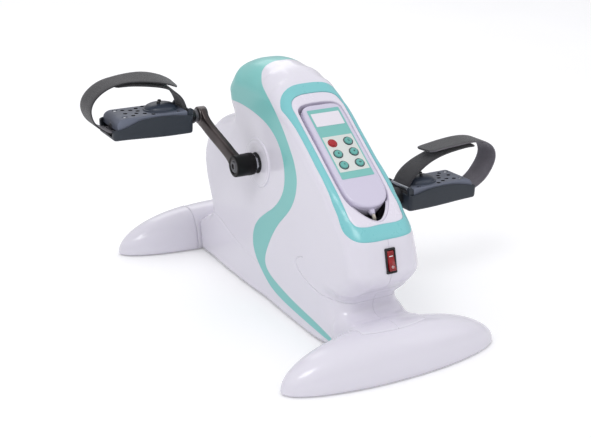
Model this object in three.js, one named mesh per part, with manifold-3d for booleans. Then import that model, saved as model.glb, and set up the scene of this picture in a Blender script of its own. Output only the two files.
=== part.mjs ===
// Motorised pedal exerciser: a white two-shell body on two cross feet, a sloped
// console with a lift-out wired handset, and a worm-driven crank carrying two
// strapped pedals.  Millimetres, +Z up.  Origin: on the floor, on the mid-plane,
// midway between the two feet.  X runs along the crank axis with the left side
// at -X, +Y points to the rear foot, -Y to the user.
import * as THREE from 'three';
import { mergeVertices } from 'three/addons/utils/BufferGeometryUtils.js';
import Module from 'manifold-3d';

const wasm = await Module();
wasm.setup();

// --------------------------------------------------------- shared dimensions
const radians = THREE.MathUtils.degToRad;
const SIDES = [['left', -1], ['right', 1]];
const GAP = 0.3;                      // clearance between neighbouring pieces
const BODY_HALF_WIDTH = 49.5;
const CRANK_Y = 17.2;
const CRANK_Z = 196.7;
const CRANK_AXIS = [CRANK_Y, CRANK_Z];
const CRANK_LENGTH = 95;              // axis to axis
const CRANK_ANGLE = radians(33.4);    // left crank above +Y, at rest
const SHAFT_RADIUS = 8.5;
const BEARING_RADIUS = 15.3;
const WHEEL_TEETH = 40;
const WHEEL_RADIUS = 40;
const WORM_RADIUS = 9;
const WORM_AXIS = [0, CRANK_Z - WHEEL_RADIUS - WORM_RADIUS - 2.6];   // x, z
const RAIL_HALF_WIDTH = 20;
const RAIL_Z = [8, 28.6];
const RAIL_CLEARANCE = 0.6;
const FRONT_FOOT = { y: -244.5, halfLength: 161 };
const REAR_FOOT = { y: 243.5, halfLength: 168 };
const PEDAL_INNER = 123;              // pedal ends along the spindle, from the mid-plane
const PEDAL_OUTER = 236;
const SOCKET_AXIS = [150, 40];        // y, z
const SOCKET_RADIUS = 6;

// ---------------------------------------------------------------- finishes
const FINISH = {
  shell: { color: 0xe6e3ec, roughness: 0.25 },
  whiteTrim: { color: 0xe6e3ec, roughness: 0.3 },
  consoleFrame: { color: 0x8fd0cf, roughness: 0.3 },
  handset: { color: 0xd6d1e2, roughness: 0.3 },
  label: { color: 0x84c6c0, roughness: 0.4 },
  button: { color: 0x84c6c0, roughness: 0.45 },
  powerButton: { color: 0xa81f2a, roughness: 0.45 },
  display: { color: 0xdde6e4, roughness: 0.15 },
  rocker: { color: 0xa81f2a, roughness: 0.25 },
  bezel: { color: 0x1c1c1f, roughness: 0.4 },
  socket: { color: 0x1c1c1f, roughness: 0.5 },
  cord: { color: 0xe6e0d2, roughness: 0.5 },
  board: { color: 0x2f6b45, roughness: 0.6 },
  gearcase: { color: 0x2e3033, roughness: 0.6 },
  rubber: { color: 0x26262a, roughness: 0.85 },
  pedal: { color: 0x39414b, roughness: 0.5 },
  tread: { color: 0x747c88, roughness: 0.6 },
  outerStrap: { color: 0x5d5a62, roughness: 0.9 },
  innerStrap: { color: 0x2b2a2e, roughness: 0.9 },
  chassis: { color: 0x4b4e54, roughness: 0.5, metalness: 0.8 },
  crankArm: { color: 0x4a4444, roughness: 0.35, metalness: 0.4 },
  wheel: { color: 0xb39a55, roughness: 0.4, metalness: 0.6 },
  bearing: { color: 0x9da2a6, roughness: 0.3, metalness: 0.9 },
  motor: { color: 0x9da2a6, roughness: 0.35, metalness: 0.9 },
  nut: { color: 0xb9bcc0, roughness: 0.25, metalness: 1 },
  shaft: { color: 0xb9bcc0, roughness: 0.3, metalness: 1 },
  bolt: { color: 0xb9bcc0, roughness: 0.35, metalness: 1 },
};

// ------------------------------------------------------------- solid helpers
function toSolid(geometry) {
  geometry.deleteAttribute('normal');
  geometry.deleteAttribute('uv');
  const merged = mergeVertices(geometry, 1e-4);
  const index = merged.index.array;
  const triangles = [];
  for (let i = 0; i < index.length; i += 3) {
    const [a, b, c] = index.slice(i, i + 3);
    if (a !== b && b !== c && a !== c) triangles.push(a, b, c);
  }
  return new wasm.Manifold(new wasm.Mesh({
    numProp: 3,
    vertProperties: new Float32Array(merged.attributes.position.array),
    triVerts: new Uint32Array(triangles),
  }));
}

function indexedGeometry(positions, index) {
  const geometry = new THREE.BufferGeometry();
  geometry.setAttribute('position', new THREE.BufferAttribute(new Float32Array(positions), 3));
  geometry.setIndex(new THREE.BufferAttribute(new Uint32Array(index), 1));
  return geometry;
}

function add(parent, name, solid, finish) {
  const { vertProperties, triVerts } = solid.getMesh();
  const geometry = indexedGeometry(vertProperties, triVerts);
  geometry.computeVertexNormals();
  const mesh = new THREE.Mesh(geometry, new THREE.MeshStandardMaterial(finish));
  mesh.name = name;
  parent.add(mesh);
}

function addGroup(parent, matrix) {
  const group = new THREE.Group();
  group.applyMatrix4(matrix);
  parent.add(group);
  return group;
}

const axesMatrix = ([xAxis, yAxis, zAxis], origin = [0, 0, 0]) => new THREE.Matrix4()
  .makeBasis(new THREE.Vector3(...xAxis), new THREE.Vector3(...yAxis), new THREE.Vector3(...zAxis))
  .setPosition(...origin);

// [start, end] ranges: centred on zero, and measured outwards on the side of the sign
const both = (half) => [-half, half];
const outwards = (sign, near, far) => (sign > 0 ? [near, far] : [-far, -near]);

function boxGeometry(...ranges) {
  const sizes = ranges.map(([start, end]) => end - start);
  const centre = ranges.map(([start, end]) => (start + end) / 2);
  return new THREE.BoxGeometry(...sizes).translate(...centre);
}
const box = (xRange, yRange, zRange) => toSolid(boxGeometry(xRange, yRange, zRange));

const CYLINDER_AXES = {
  x: [[0, 1, 0], [1, 0, 0], [0, 0, -1]],
  y: [[1, 0, 0], [0, 1, 0], [0, 0, 1]],
  z: [[1, 0, 0], [0, 0, 1], [0, -1, 0]],
};
// the centre gives the two other coordinates, in x, y, z order
function cylinder(axis, radius, [start, end], centre, segments = 20, endRadius = radius) {
  const middle = [...centre];
  middle.splice('xyz'.indexOf(axis), 0, (start + end) / 2);
  return toSolid(new THREE.CylinderGeometry(endRadius, radius, end - start, segments)
    .applyMatrix4(axesMatrix(CYLINDER_AXES[axis], middle)));
}

// ----------------------------------------------------------- outline helpers
const toVectors = (outline) => outline.map(([a, b]) => new THREE.Vector2(a, b));

function arc(radius, fromDegrees, toDegrees, steps, centre = [0, 0]) {
  return Array.from({ length: steps + 1 }, (_, i) => {
    const angle = radians(fromDegrees + (toDegrees - fromDegrees) * i / steps);
    return [centre[0] + radius * Math.cos(angle), centre[1] + radius * Math.sin(angle)];
  });
}
const ring = (radius, segments, centre) => arc(radius, 0, 360, segments, centre).slice(0, -1);

// rectangle centred on the first coordinate, with cut corners
const chamferedRect = (half, low, high, cut) => [
  [half, high - cut], [half - cut, high], [cut - half, high], [-half, high - cut],
  [-half, low + cut], [cut - half, low], [half - cut, low], [half, low + cut],
];

// completes an outline from its positive half
const mirrored = (half) => [
  ...half,
  ...half.filter(([a]) => a !== 0).reverse().map(([a, b]) => [-a, b]),
];

// moves every point of a closed outline inwards (outwards when negative)
function inset(outline, distance) {
  const smallestMiter = 0.6;          // keeps sharp corners from shooting out
  const count = outline.length;
  const turn = THREE.ShapeUtils.area(toVectors(outline)) > 0 ? 1 : -1;
  const normal = (from, to) => {
    const edge = [to[0] - from[0], to[1] - from[1]];
    const length = Math.hypot(...edge);
    return [-edge[1] / length * turn, edge[0] / length * turn];
  };
  return outline.map((point, i) => {
    const before = normal(outline[(i + count - 1) % count], point);
    const after = normal(point, outline[(i + 1) % count]);
    const miter = [before[0] + after[0], before[1] + after[1]];
    const scale = 2 * distance / Math.max(smallestMiter, miter[0] ** 2 + miter[1] ** 2);
    return [point[0] + miter[0] * scale, point[1] + miter[1] * scale];
  });
}

// closed band of even thickness along an open path
function band(path, thickness) {
  const curve = new THREE.CatmullRomCurve3(path.map(([a, b]) => new THREE.Vector3(a, b, 0)));
  const steps = Math.round(path.length * 1.6);
  const leftEdge = [];
  const rightEdge = [];
  for (let i = 0; i <= steps; i++) {
    const point = curve.getPoint(i / steps);
    const offset = curve.getTangent(i / steps).multiplyScalar(thickness / 2);
    leftEdge.push([point.x - offset.y, point.y + offset.x]);
    rightEdge.push([point.x + offset.y, point.y - offset.x]);
  }
  return rightEdge.concat(leftEdge.reverse());
}

// closed outline extruded over a range, its rims rounded by the bevel
function prism(outline, [start, end], bevel = 0, bevelSteps = 1) {
  if (!bevel) {
    return new THREE.ExtrudeGeometry(new THREE.Shape(toVectors(outline)),
      { depth: end - start, steps: 1, bevelEnabled: false }).translate(0, 0, start);
  }
  const clockwise = THREE.ShapeUtils.isClockWise(toVectors(outline));
  const points = clockwise ? [...outline].reverse() : outline;
  const count = points.length;
  const rim = Array.from({ length: bevelSteps + 1 }, (_, i) => {
    const angle = i / bevelSteps * Math.PI / 2;
    return [bevel * (1 - Math.sin(angle)), bevel * (1 - Math.cos(angle))];
  });
  const levels = [
    ...rim.map(([depth, inward]) => [start + depth, inward]).reverse(),
    ...rim.map(([depth, inward]) => [end - depth, inward]),
  ];
  const positions = [];
  for (const [height, inward] of levels) {
    for (const [a, b] of (inward ? inset(points, inward) : points)) positions.push(a, b, height);
  }
  const index = [];
  for (let level = 0; level < levels.length - 1; level++) {
    for (let i = 0; i < count; i++) {
      const a = level * count + i;
      const b = level * count + (i + 1) % count;
      index.push(a, b, b + count, a, b + count, a + count);
    }
  }
  const top = (levels.length - 1) * count;
  for (const [a, b, c] of THREE.ShapeUtils.triangulateShape(toVectors(points), [])) {
    index.push(c, b, a, top + a, top + b, top + c);
  }
  return indexedGeometry(positions, index);
}

// outline (y, z) extruded along X
const prismXGeometry = (outline, xRange, bevel, bevelSteps) =>
  prism(outline, xRange, bevel, bevelSteps)
    .applyMatrix4(axesMatrix([[0, 1, 0], [0, 0, 1], [1, 0, 0]]));
const prismX = (...args) => toSolid(prismXGeometry(...args));
// outline (x, z) extruded along Y, centred on y = 0
const prismY = (outline, halfWidth, bevel) => toSolid(prism(outline, both(halfWidth), bevel)
  .applyMatrix4(axesMatrix([[1, 0, 0], [0, 0, 1], [0, -1, 0]])));

// ------------------------------------------------------------- local frames
// console: outlines are (-x, distance down the slope), extruded out of the slope
const SLOPE = radians(35.3);
const LABEL_TOP = [0, -66.1, 286.8];  // top centre of the control label
const DOWN_SLOPE = [0, -Math.cos(SLOPE), -Math.sin(SLOPE)];
const OUT_OF_SLOPE = [0, -Math.sin(SLOPE), Math.cos(SLOPE)];
const CONSOLE_MATRIX = axesMatrix([[-1, 0, 0], DOWN_SLOPE, OUT_OF_SLOPE], LABEL_TOP);
const prismConsole = (outline, range, bevel) =>
  toSolid(prism(outline, range, bevel).applyMatrix4(CONSOLE_MATRIX));

// switch: y up the front face, z out of it
const SWITCH_TILT = radians(75.5);
const SWITCH_MATRIX = axesMatrix([
  [1, 0, 0],
  [0, Math.cos(SWITCH_TILT), Math.sin(SWITCH_TILT)],
  [0, -Math.sin(SWITCH_TILT), Math.cos(SWITCH_TILT)],
], [0, -233.3, 138.1]);
const switchBox = (halfWidth, halfHeight, range) =>
  toSolid(boxGeometry(both(halfWidth), both(halfHeight), range).applyMatrix4(SWITCH_MATRIX));

const object = new THREE.Group();
object.name = 'pedal_exerciser';
const world = new THREE.Group();
object.add(world);

// --------------------------------------------------------- console outlines
// positive half of each outline: across, distance down the slope
const FRAME_OUTER = mirrored([
  [0, 201.5], [30, 200], [40, 194], [46, 180], [47, 150], [46.5, 80],
  [46.5, 20], [46, -10], [43, -27], [34, -39], [18, -46.5], [0, -48.5],
]);
const FRAME_INNER = mirrored([
  [24, 181.5], [33, 178], [37, 169], [37, 130], [37, 60],
  [37.5, 5], [35.5, -12], [30, -22], [18, -28.5], [0, -30.5],
]);
const POCKET = mirrored([
  [7, 176], [17, 171], [25, 161], [29.5, 147], [30.8, 120],
  [31.4, 60], [32.2, 5], [30.5, -7], [24, -12], [0, -13],
]);
const HANDSET = mirrored([
  [7, 156.5], [17.5, 150], [25, 138], [28, 122], [29, 90],
  [29.4, 40], [28.6, 6], [26, -4], [19, -8],
]);
const CONSOLE_SEAT = -6.9;            // underside of the frame and of the tray rim

// --------------------------------------------------------------- body shells
// side outline (y, z), anticlockwise from the front bottom corner
const BODY = [
  [-203.2, 3.2], [201.2, 3.2], [202.4, 14], [205, 26], [209, 37], [212, 46], [202, 53.5],
  [186, 65], [170, 76], [171, 90], [179, 104], [188, 124], [194, 140], [196.4, 156],
  [193.5, 172], [187, 188], [176, 203], [163, 214.5], [147, 226.5], [129, 237], [112, 246],
  [113, 254], [119, 263], [123, 275], [120.5, 288], [113.5, 300], [104, 311], [92, 320],
  [75, 325.5], [54, 327.5], [30, 326.5], [6, 322.5], [-14, 315.5], [-28.9, 307.2],
  [-216.3, 174.5], [-224.5, 166.2], [-228.6, 155], [-233.3, 138.1], [-236.6, 125.5],
  [-235.4, 115], [-229.5, 105.5], [-220.5, 97], [-211, 88.5], [-203.5, 80], [-199.2, 71],
  [-198.8, 60], [-202, 46],
];
// side outline (y, z) of the tongue that laps over the front foot
const TONGUE = [
  [-196, 68], [-202, 63.8], [-214, 61.6], [-228, 61.3], [-238, 61.2], [-237, 60.7],
  [-229.2, 57.4], [-222, 52.2], [-216.4, 45.6], [-211, 37], [-207, 27], [-196, 27],
];

function housingShell() {
  const wall = 2.8;
  const edgeRadius = 9;
  const edgeSteps = 2;
  const tongueHalfWidth = 41;
  const hollow = prismX(
    inset(BODY, wall), both(BODY_HALF_WIDTH - wall), edgeRadius - 2, edgeSteps);
  return prismX(BODY, both(BODY_HALF_WIDTH), edgeRadius, edgeSteps)
    .add(prismX(TONGUE, both(tongueHalfWidth)))
    .subtract(hollow)
    // seat for the console frame, opening for the tray
    .subtract(prismConsole(inset(FRAME_OUTER, -GAP), [CONSOLE_SEAT - GAP, 6]))
    .subtract(prismConsole(inset(POCKET, -4.4), [-40, -7]))
    // axle holes, switch opening, power socket opening, chassis rail openings
    .subtract(cylinder('x', 16, both(70), CRANK_AXIS, 24))
    .subtract(switchBox(6.3, 14.7, [-14, 8]))
    .subtract(cylinder('x', SOCKET_RADIUS + GAP, [30, 70], SOCKET_AXIS, 16))
    .subtract(box(both(RAIL_HALF_WIDTH + 0.8), both(240),
      [RAIL_Z[0] - RAIL_CLEARANCE, RAIL_Z[1] + RAIL_CLEARANCE]));
}
const shell = housingShell();
for (const [side, sign] of SIDES) {
  const half = box(outwards(sign, GAP / 2, 80), both(300), [0, 400]);
  add(world, `housing_${side}`, shell.intersect(half), FINISH.shell);
}

// ----------------------------------------------------------- console and tray
const consoleFrame = prismConsole(FRAME_OUTER, [CONSOLE_SEAT, -4], 1.2)
  .subtract(prismConsole(inset(FRAME_INNER, -GAP), [-12, 2]));
add(world, 'console_frame', consoleFrame, FINISH.consoleFrame);

function consoleTray() {
  const wall = 3.6;
  const floor = [-31, -28.6];
  const cordHole = ring(4.6, 12, [0, 166.6]);
  return prismConsole(FRAME_INNER, [CONSOLE_SEAT, -4.3], 0.8)
    .add(prismConsole(inset(POCKET, -wall), [floor[0], -6.5]))
    .subtract(prismConsole(POCKET, [floor[1], 4]))
    .subtract(prismConsole(cordHole, [-40, -24]));
}
add(world, 'console_tray', consoleTray(), FINISH.whiteTrim);

// ------------------------------------------------------------- axle covers
function axleCover(sign) {
  const radii = [34, 32.6];           // against the body, at the outer face
  const [lowRadius, highRadius] = sign > 0 ? radii : [...radii].reverse();
  const disc = outwards(sign, BODY_HALF_WIDTH + GAP, BODY_HALF_WIDTH + 2.3);
  const hub = outwards(sign, BODY_HALF_WIDTH - 2.6, BODY_HALF_WIDTH + 1);
  return cylinder('x', lowRadius, disc, CRANK_AXIS, 36, highRadius)
    .add(cylinder('x', 15.6, hub, CRANK_AXIS, 24))
    .subtract(cylinder('x', SHAFT_RADIUS + 0.5, both(70), CRANK_AXIS));
}
for (const [side, sign] of SIDES) {
  add(world, `axle_cover_${side}`, axleCover(sign), FINISH.whiteTrim);
}

// ------------------------------------------------------------- steel chassis
const CROSS_HALF_LENGTH = 120;
const CROSS_HALF_DEPTH = 13;

function chassisFrame() {
  // side outline (y, z) of the upright plates that carry the bearings
  const plate = [
    [-22, 26], [56, 26], [52, 120], [44, 190], [38, 214],
    [CRANK_Y, 222], [-4, 214], [-10, 190], [-18, 120],
  ];
  const plateOuter = 34;
  let solid = box(both(RAIL_HALF_WIDTH), both(245), RAIL_Z);
  for (const { y } of [FRONT_FOOT, REAR_FOOT]) {
    solid = solid.add(box(
      both(CROSS_HALF_LENGTH), [y - CROSS_HALF_DEPTH, y + CROSS_HALF_DEPTH], RAIL_Z));
  }
  for (const [, sign] of SIDES) {
    solid = solid.add(prismX(plate, outwards(sign, 30, plateOuter)))
      .add(box(outwards(sign, 14, plateOuter), [-22, 56], [22, RAIL_Z[1]]));
  }
  return solid.add(box(both(33), [20, 26], [28, 100]))     // web between the plates
    .subtract(cylinder('x', BEARING_RADIUS + GAP, both(60), CRANK_AXIS, 24));
}
add(world, 'chassis_frame', chassisFrame(), FINISH.chassis);

// --------------------------------------------------------------------- feet
const FOOT_HALF_DEPTH = 40.5;
const FOOT_TOP = 60;
const FOOT_BOTTOM = 2;

// lens-shaped foot: flat underside, elliptical ridge, tapering to both ends
function footBlank({ y, halfLength }, [xStart, xEnd]) {
  const lengthSteps = 17;
  const archSteps = 12;
  const smallest = { halfDepth: 4, height: 5 };
  const endMargin = 3;                // no station closer than this to a cut end
  const stations = [xStart];
  for (let i = 0; i <= lengthSteps; i++) {
    const x = Math.sin((-1 + 2 * i / lengthSteps) * Math.PI / 2) * halfLength;
    if (x > xStart + endMargin && x < xEnd - endMargin) stations.push(x);
  }
  stations.push(xEnd);

  const positions = [];
  for (const x of stations) {
    const taper = Math.sqrt(1 - Math.min(1, Math.abs(x) / halfLength) ** 2);
    const halfDepth = Math.max(smallest.halfDepth, FOOT_HALF_DEPTH * taper);
    const height = Math.max(smallest.height, (FOOT_TOP - FOOT_BOTTOM) * taper);
    for (let j = 0; j <= archSteps; j++) {
      const angle = Math.PI * j / archSteps;
      positions.push(x, y + halfDepth * Math.cos(angle), FOOT_BOTTOM + height * Math.sin(angle));
    }
  }

  const row = archSteps + 1;
  const lastRow = (stations.length - 1) * row;
  const index = [];
  for (let start = 0; start < lastRow; start += row) {
    for (let j = 0; j < row; j++) {
      const a = start + j;
      const b = start + (j + 1) % row;
      index.push(a, b, a + row, b, b + row, a + row);
    }
  }
  for (let j = 1; j < archSteps; j++) {
    index.push(0, j + 1, j, lastRow, lastRow + j, lastRow + j + 1);
  }
  return toSolid(indexedGeometry(positions, index));
}

// foot with the channel for the cross tube and the passage for the rail
function foot(place, xRange = both(place.halfLength)) {
  const { y } = place;
  const cutZ = [-1, RAIL_Z[1] + RAIL_CLEARANCE];
  const channelHalfDepth = CROSS_HALF_DEPTH + 1;
  const passageY = y < 0 ? [y + 10, y + 60] : [y - 60, y - 10];
  return footBlank(place, xRange)
    .subtract(box(
      both(CROSS_HALF_LENGTH + 1), [y - channelHalfDepth, y + channelHalfDepth], cutZ))
    .subtract(box(both(RAIL_HALF_WIDTH + RAIL_CLEARANCE), passageY, cutZ));
}
add(world, 'front_foot', foot(FRONT_FOOT), FINISH.shell);

const REAR_SEAM = 54;                 // joint of each end piece, from the mid-plane
for (const [part, xRange] of [
  ['left', [-REAR_FOOT.halfLength, -REAR_SEAM - GAP / 2]],
  ['centre', both(REAR_SEAM - GAP / 2)],
  ['right', [REAR_SEAM + GAP / 2, REAR_FOOT.halfLength]],
]) {
  add(world, `rear_foot_${part}`, foot(REAR_FOOT, xRange), FINISH.shell);
}

const PAD = { x: 107, radius: 12.5, height: 7.7 };
for (const [end, { y }] of [['front', FRONT_FOOT], ['rear', REAR_FOOT]]) {
  for (const [side, sign] of SIDES) {
    const pad = cylinder('z', PAD.radius, [0, PAD.height], [sign * PAD.x, y], 20, PAD.radius - 1);
    add(world, `foot_pad_${end}_${side}`, pad, FINISH.rubber);
  }
}

// ------------------------------------------------------------ crank assembly
const CENTRE = [0, 0];
const crank = new THREE.Group();
crank.position.set(0, CRANK_Y, CRANK_Z);
world.add(crank);
add(crank, 'crank_shaft', cylinder('x', SHAFT_RADIUS, both(83.6), CENTRE), FINISH.shaft);

// shallow straight teeth, hub and bore
function wormWheel() {
  const root = WHEEL_RADIUS - 1.6;
  const tip = WHEEL_RADIUS + 1.4;
  const toothRadii = [root, root, tip, tip];
  const outline = [];
  for (let i = 0; i < WHEEL_TEETH; i++) {
    toothRadii.forEach((radius, quarter) => {
      const angle = 2 * Math.PI * (i + quarter / 4) / WHEEL_TEETH;
      outline.push([radius * Math.cos(angle), radius * Math.sin(angle)]);
    });
  }
  return prismX(outline, both(6))
    .add(cylinder('x', 14, both(10.5), CENTRE))
    .subtract(cylinder('x', SHAFT_RADIUS + GAP, both(20), CENTRE));
}
add(crank, 'worm_wheel', wormWheel(), FINISH.wheel);

function bearing(sign) {
  return cylinder('x', BEARING_RADIUS, outwards(sign, 27, 36), CRANK_AXIS, 24)
    .subtract(cylinder('x', SHAFT_RADIUS + GAP, both(60), CRANK_AXIS));
}
function shaftNut(sign) {
  return prismX(ring(12, 6), outwards(sign, 52.3, 57.4))
    .subtract(cylinder('x', SHAFT_RADIUS + GAP, both(70), CENTRE));
}

// the arm pieces lie in a local frame: x outwards, y along the arm
const SPINDLE_AXIS = [CRANK_LENGTH, 0];
const SPINDLE_RADIUS = 6;
const ARM_OUTER = 86.5;

function crankArm() {
  const outline = [
    ...arc(14, 96, 264, 6), [30, -9.2], [60, -8.2],
    ...arc(12, -88, 88, 6, SPINDLE_AXIS), [60, 8.2], [30, 9.2],
  ];
  const outwardLean = 15.5 / CRANK_LENGTH;
  const shear = new THREE.Matrix4().makeShear(0, 0, outwardLean, 0, 0, 0);
  const bossOuter = 102;
  return toSolid(prismXGeometry(outline, [74.5, ARM_OUTER], 1.6).applyMatrix4(shear))
    .intersect(box([50, bossOuter - 0.1], [-40, 130], both(40)))
    .add(cylinder('x', 15, [58, ARM_OUTER], CENTRE, 24))
    .add(cylinder('x', 12, [90, bossOuter], SPINDLE_AXIS))
    // shaft bore, bolt recess, spindle bore
    .subtract(cylinder('x', SHAFT_RADIUS + GAP, [50, 84], CENTRE))
    .subtract(cylinder('x', 9.6, [83.9, 90], CENTRE))
    .subtract(cylinder('x', 6.4, [80, 110], SPINDLE_AXIS, 16));
}
function crankBolt() {
  return cylinder('x', 9.2, [84.1, 86], CENTRE, 16).add(prismX(ring(5, 6), [85.9, 87.4]));
}
function pedalSpindle() {
  return cylinder('x', SPINDLE_RADIUS, [89.5, PEDAL_OUTER - 8], SPINDLE_AXIS, 14)
    .add(cylinder('x', 8.6, [102.4, 107], SPINDLE_AXIS, 14));
}

for (const [side, sign] of SIDES) {
  add(world, `bearing_${side}`, bearing(sign), FINISH.bearing);
  add(crank, `shaft_nut_${side}`, shaftNut(sign), FINISH.nut);
  const cos = Math.cos(CRANK_ANGLE);
  const sin = Math.sin(CRANK_ANGLE);
  const armGroup = addGroup(crank,
    axesMatrix([[sign, 0, 0], [0, -sign * cos, -sign * sin], [0, sin, -cos]]));
  add(armGroup, `crank_arm_${side}`, crankArm(), FINISH.crankArm);
  add(armGroup, `crank_bolt_${side}`, crankBolt(), FINISH.bolt);
  add(armGroup, `pedal_spindle_${side}`, pedalSpindle(), FINISH.bolt);
}

// ------------------------------------------------------------------- pedals
// local frame: x outwards along the spindle, y across the pedal, z up
const PEDAL_SHIFT = { left: -3, right: 4 };      // how far each pedal is screwed out
const PEDAL_TILT = { left: 0, right: radians(2) };
const STRAP_HALF_WIDTH = 20;
const STRAP_THICKNESS = 2.6;
const STRAP_BAR_X = 127.4;
// strap centre lines (x, z); the right-hand pair is closed with a shorter overlap
const OUTER_STRAP = {
  left: [
    [239.2, -1], [251, 4], [264, 14], [272.2, 28], [270.6, 42], [259, 53.5],
    [241, 60.5], [222, 64.2], [200, 65], [178, 63.2], [158, 59.4], [142, 55],
  ],
  right: [
    [239.2, -1], [247.5, 3], [257, 12], [263, 24], [265.4, 36], [262.5, 49],
    [254, 58.5], [241, 65], [225, 68.2], [208, 68.6], [188, 66], [171, 61.5],
  ],
};
const INNER_STRAP = {
  left: [
    [124, 18.6], [125.5, 26], [130, 35.5], [139, 45],
    [152, 52], [172, 57], [200, 60.6], [224, 60],
  ],
  right: [
    [124, 18.6], [126.5, 25], [133, 33], [144, 42],
    [158, 49.5], [180, 57.5], [206, 62.8], [230, 62.4],
  ],
};

function pedalBody() {
  // (x, z); the top edge steps down towards the outer end
  const outline = [
    [PEDAL_INNER, -15], [PEDAL_OUTER, -12], [PEDAL_OUTER, 6.5], [228, 8], [212, 9],
    [201, 12.5], [192, 14.6], [168, 14.6], [142, 12], [PEDAL_INNER, 10.5],
  ];
  const treadRecess = box([131, 230], both(23), [2, 30]);
  const bore = cylinder('x', SPINDLE_RADIUS + GAP, [115, 234], CENTRE, 16);
  const innerSlot = box([STRAP_BAR_X - 2.1, STRAP_BAR_X + 2.1], both(22.3), [3.6, 30]);
  const outerSlot = box([232, 240], both(21.5), [-4.5, 3.4]);
  const spine = box([130.9, 230.1], both(10), [-9, 2.4]);
  return prismY(outline, 30, 3.2)
    .subtract(treadRecess)
    .subtract(bore)
    .subtract(innerSlot)
    .subtract(outerSlot)
    .add(spine.subtract(bore));
}

function pedalTread() {
  const outline = [
    [131.4, 7.3], [229.6, 7.3], [229.6, 13.5], [226, 16], [186, 16.6], [131.4, 16.6],
  ];
  const holes = [[178, -12], [178, 12], [192, 0], [206, -13], [206, 13], [213, 0]];
  const dome = toSolid(
    new THREE.SphereGeometry(1, 16, 8).scale(23, 19, 9).translate(158.5, 0, 16));
  let solid = prismY(outline, 22.6).add(dome.intersect(box([100, 229], both(22), [10, 60])));
  for (const hole of holes) solid = solid.subtract(cylinder('z', 2.4, [12.5, 30], hole, 8));
  return solid;
}

for (const [side, sign] of SIDES) {
  const hanger = new THREE.Group();
  hanger.position.set(0,
    CRANK_Y - sign * CRANK_LENGTH * Math.cos(CRANK_ANGLE),
    CRANK_Z - sign * CRANK_LENGTH * Math.sin(CRANK_ANGLE));
  hanger.rotation.x = -PEDAL_TILT[side];
  world.add(hanger);
  const pedal = addGroup(hanger,
    axesMatrix([[sign, 0, 0], [0, sign, 0], [0, 0, 1]], [sign * PEDAL_SHIFT[side], 0, 0]));
  const outerStrap = prismY(band(OUTER_STRAP[side], STRAP_THICKNESS), STRAP_HALF_WIDTH);
  const innerStrap = prismY(band(INNER_STRAP[side], STRAP_THICKNESS), STRAP_HALF_WIDTH - 1);
  const strapBar = cylinder('y', 1.9, both(22), [STRAP_BAR_X, 13.4], 10);
  add(pedal, `pedal_body_${side}`, pedalBody(), FINISH.pedal);
  add(pedal, `pedal_tread_${side}`, pedalTread(), FINISH.tread);
  add(pedal, `strap_outer_${side}`, outerStrap, FINISH.outerStrap);
  add(pedal, `strap_inner_${side}`, innerStrap, FINISH.innerStrap);
  add(pedal, `strap_bar_${side}`, strapBar, FINISH.shaft);
}

// -------------------------------------------------- motor, worm and gearcase
const MOTOR_Y = [-118, -34];

function motor() {
  const [front, rear] = MOTOR_Y;
  return cylinder('y', 25, MOTOR_Y, WORM_AXIS, 24)
    .add(cylinder('y', 9, [front - 5, front + 1], WORM_AXIS, 16))
    .subtract(cylinder('y', 4.4, [front + 30, rear + 10], WORM_AXIS, 12));
}
add(world, 'motor', motor(), FINISH.motor);

// motor shaft and worm; the thread's crests are collars one tooth pitch apart
function wormShaft() {
  const pitch = 2 * Math.PI * WHEEL_RADIUS / WHEEL_TEETH;
  const collars = { count: 5, start: 2, width: 2.4 };
  let solid = cylinder('y', 4, [MOTOR_Y[0] + 34, 60], WORM_AXIS, 12)
    .add(cylinder('y', WORM_RADIUS - 1.8, [-8, 43], WORM_AXIS, 12));
  for (let i = 0; i < collars.count; i++) {
    const y = collars.start + i * pitch;
    solid = solid.add(cylinder('y', WORM_RADIUS, [y, y + collars.width], WORM_AXIS, 12));
  }
  return solid;
}
add(world, 'worm_shaft', wormShaft(), FINISH.shaft);

// one of two cups closed round the worm wheel and the worm
function gearcase(sign) {
  const wall = 2.6;
  const bottom = WORM_AXIS[1] - 14;
  const arcStep = 360 / 28;
  const outline = [
    [-27, bottom], [58, bottom],
    ...arc(47, -3 * arcStep, 17 * arcStep, 20, CRANK_AXIS),
  ];
  return prismX(outline, outwards(sign, GAP / 2, 16.5))
    .subtract(prismX(inset(outline, wall), outwards(sign, -1, 13.5)))
    .subtract(cylinder('x', 14.5, both(30), CRANK_AXIS))
    .subtract(cylinder('y', 4.6, [-60, 90], WORM_AXIS, 12));
}
for (const [side, sign] of SIDES) {
  add(world, `gearcase_${side}`, gearcase(sign), FINISH.gearcase);
}

// ------------------------------------------------------------ power and logic
const bezel = switchBox(7.4, 15.8, [GAP, 2.1])
  .add(switchBox(6, 14.4, [-10, 1]))
  .subtract(switchBox(4.9, 13.2, [-8, 6]));
add(world, 'switch_bezel', bezel, FINISH.bezel);

// shallow V face, its lower end standing out at rest
const ROCKER = [[-11.8, -3.4], [11.8, -3.4], [12.2, 1.6], [0, 2.3], [-12.2, 5.2], [-12.4, 3]];
add(addGroup(world, SWITCH_MATRIX), 'switch_rocker', prismX(ROCKER, both(4.5)), FINISH.rocker);

function powerSocket() {
  const flange = cylinder('x', 7.6, [BODY_HALF_WIDTH + GAP, 51.2], SOCKET_AXIS)
    .add(cylinder('x', SOCKET_RADIUS, [49, 50], SOCKET_AXIS, 16));
  return cylinder('x', SOCKET_RADIUS, [38, 49.2], SOCKET_AXIS, 16)
    .add(flange)
    .subtract(cylinder('x', 3.2, [42, 60], SOCKET_AXIS, 12));
}
add(world, 'power_socket', powerSocket(), FINISH.socket);

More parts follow.
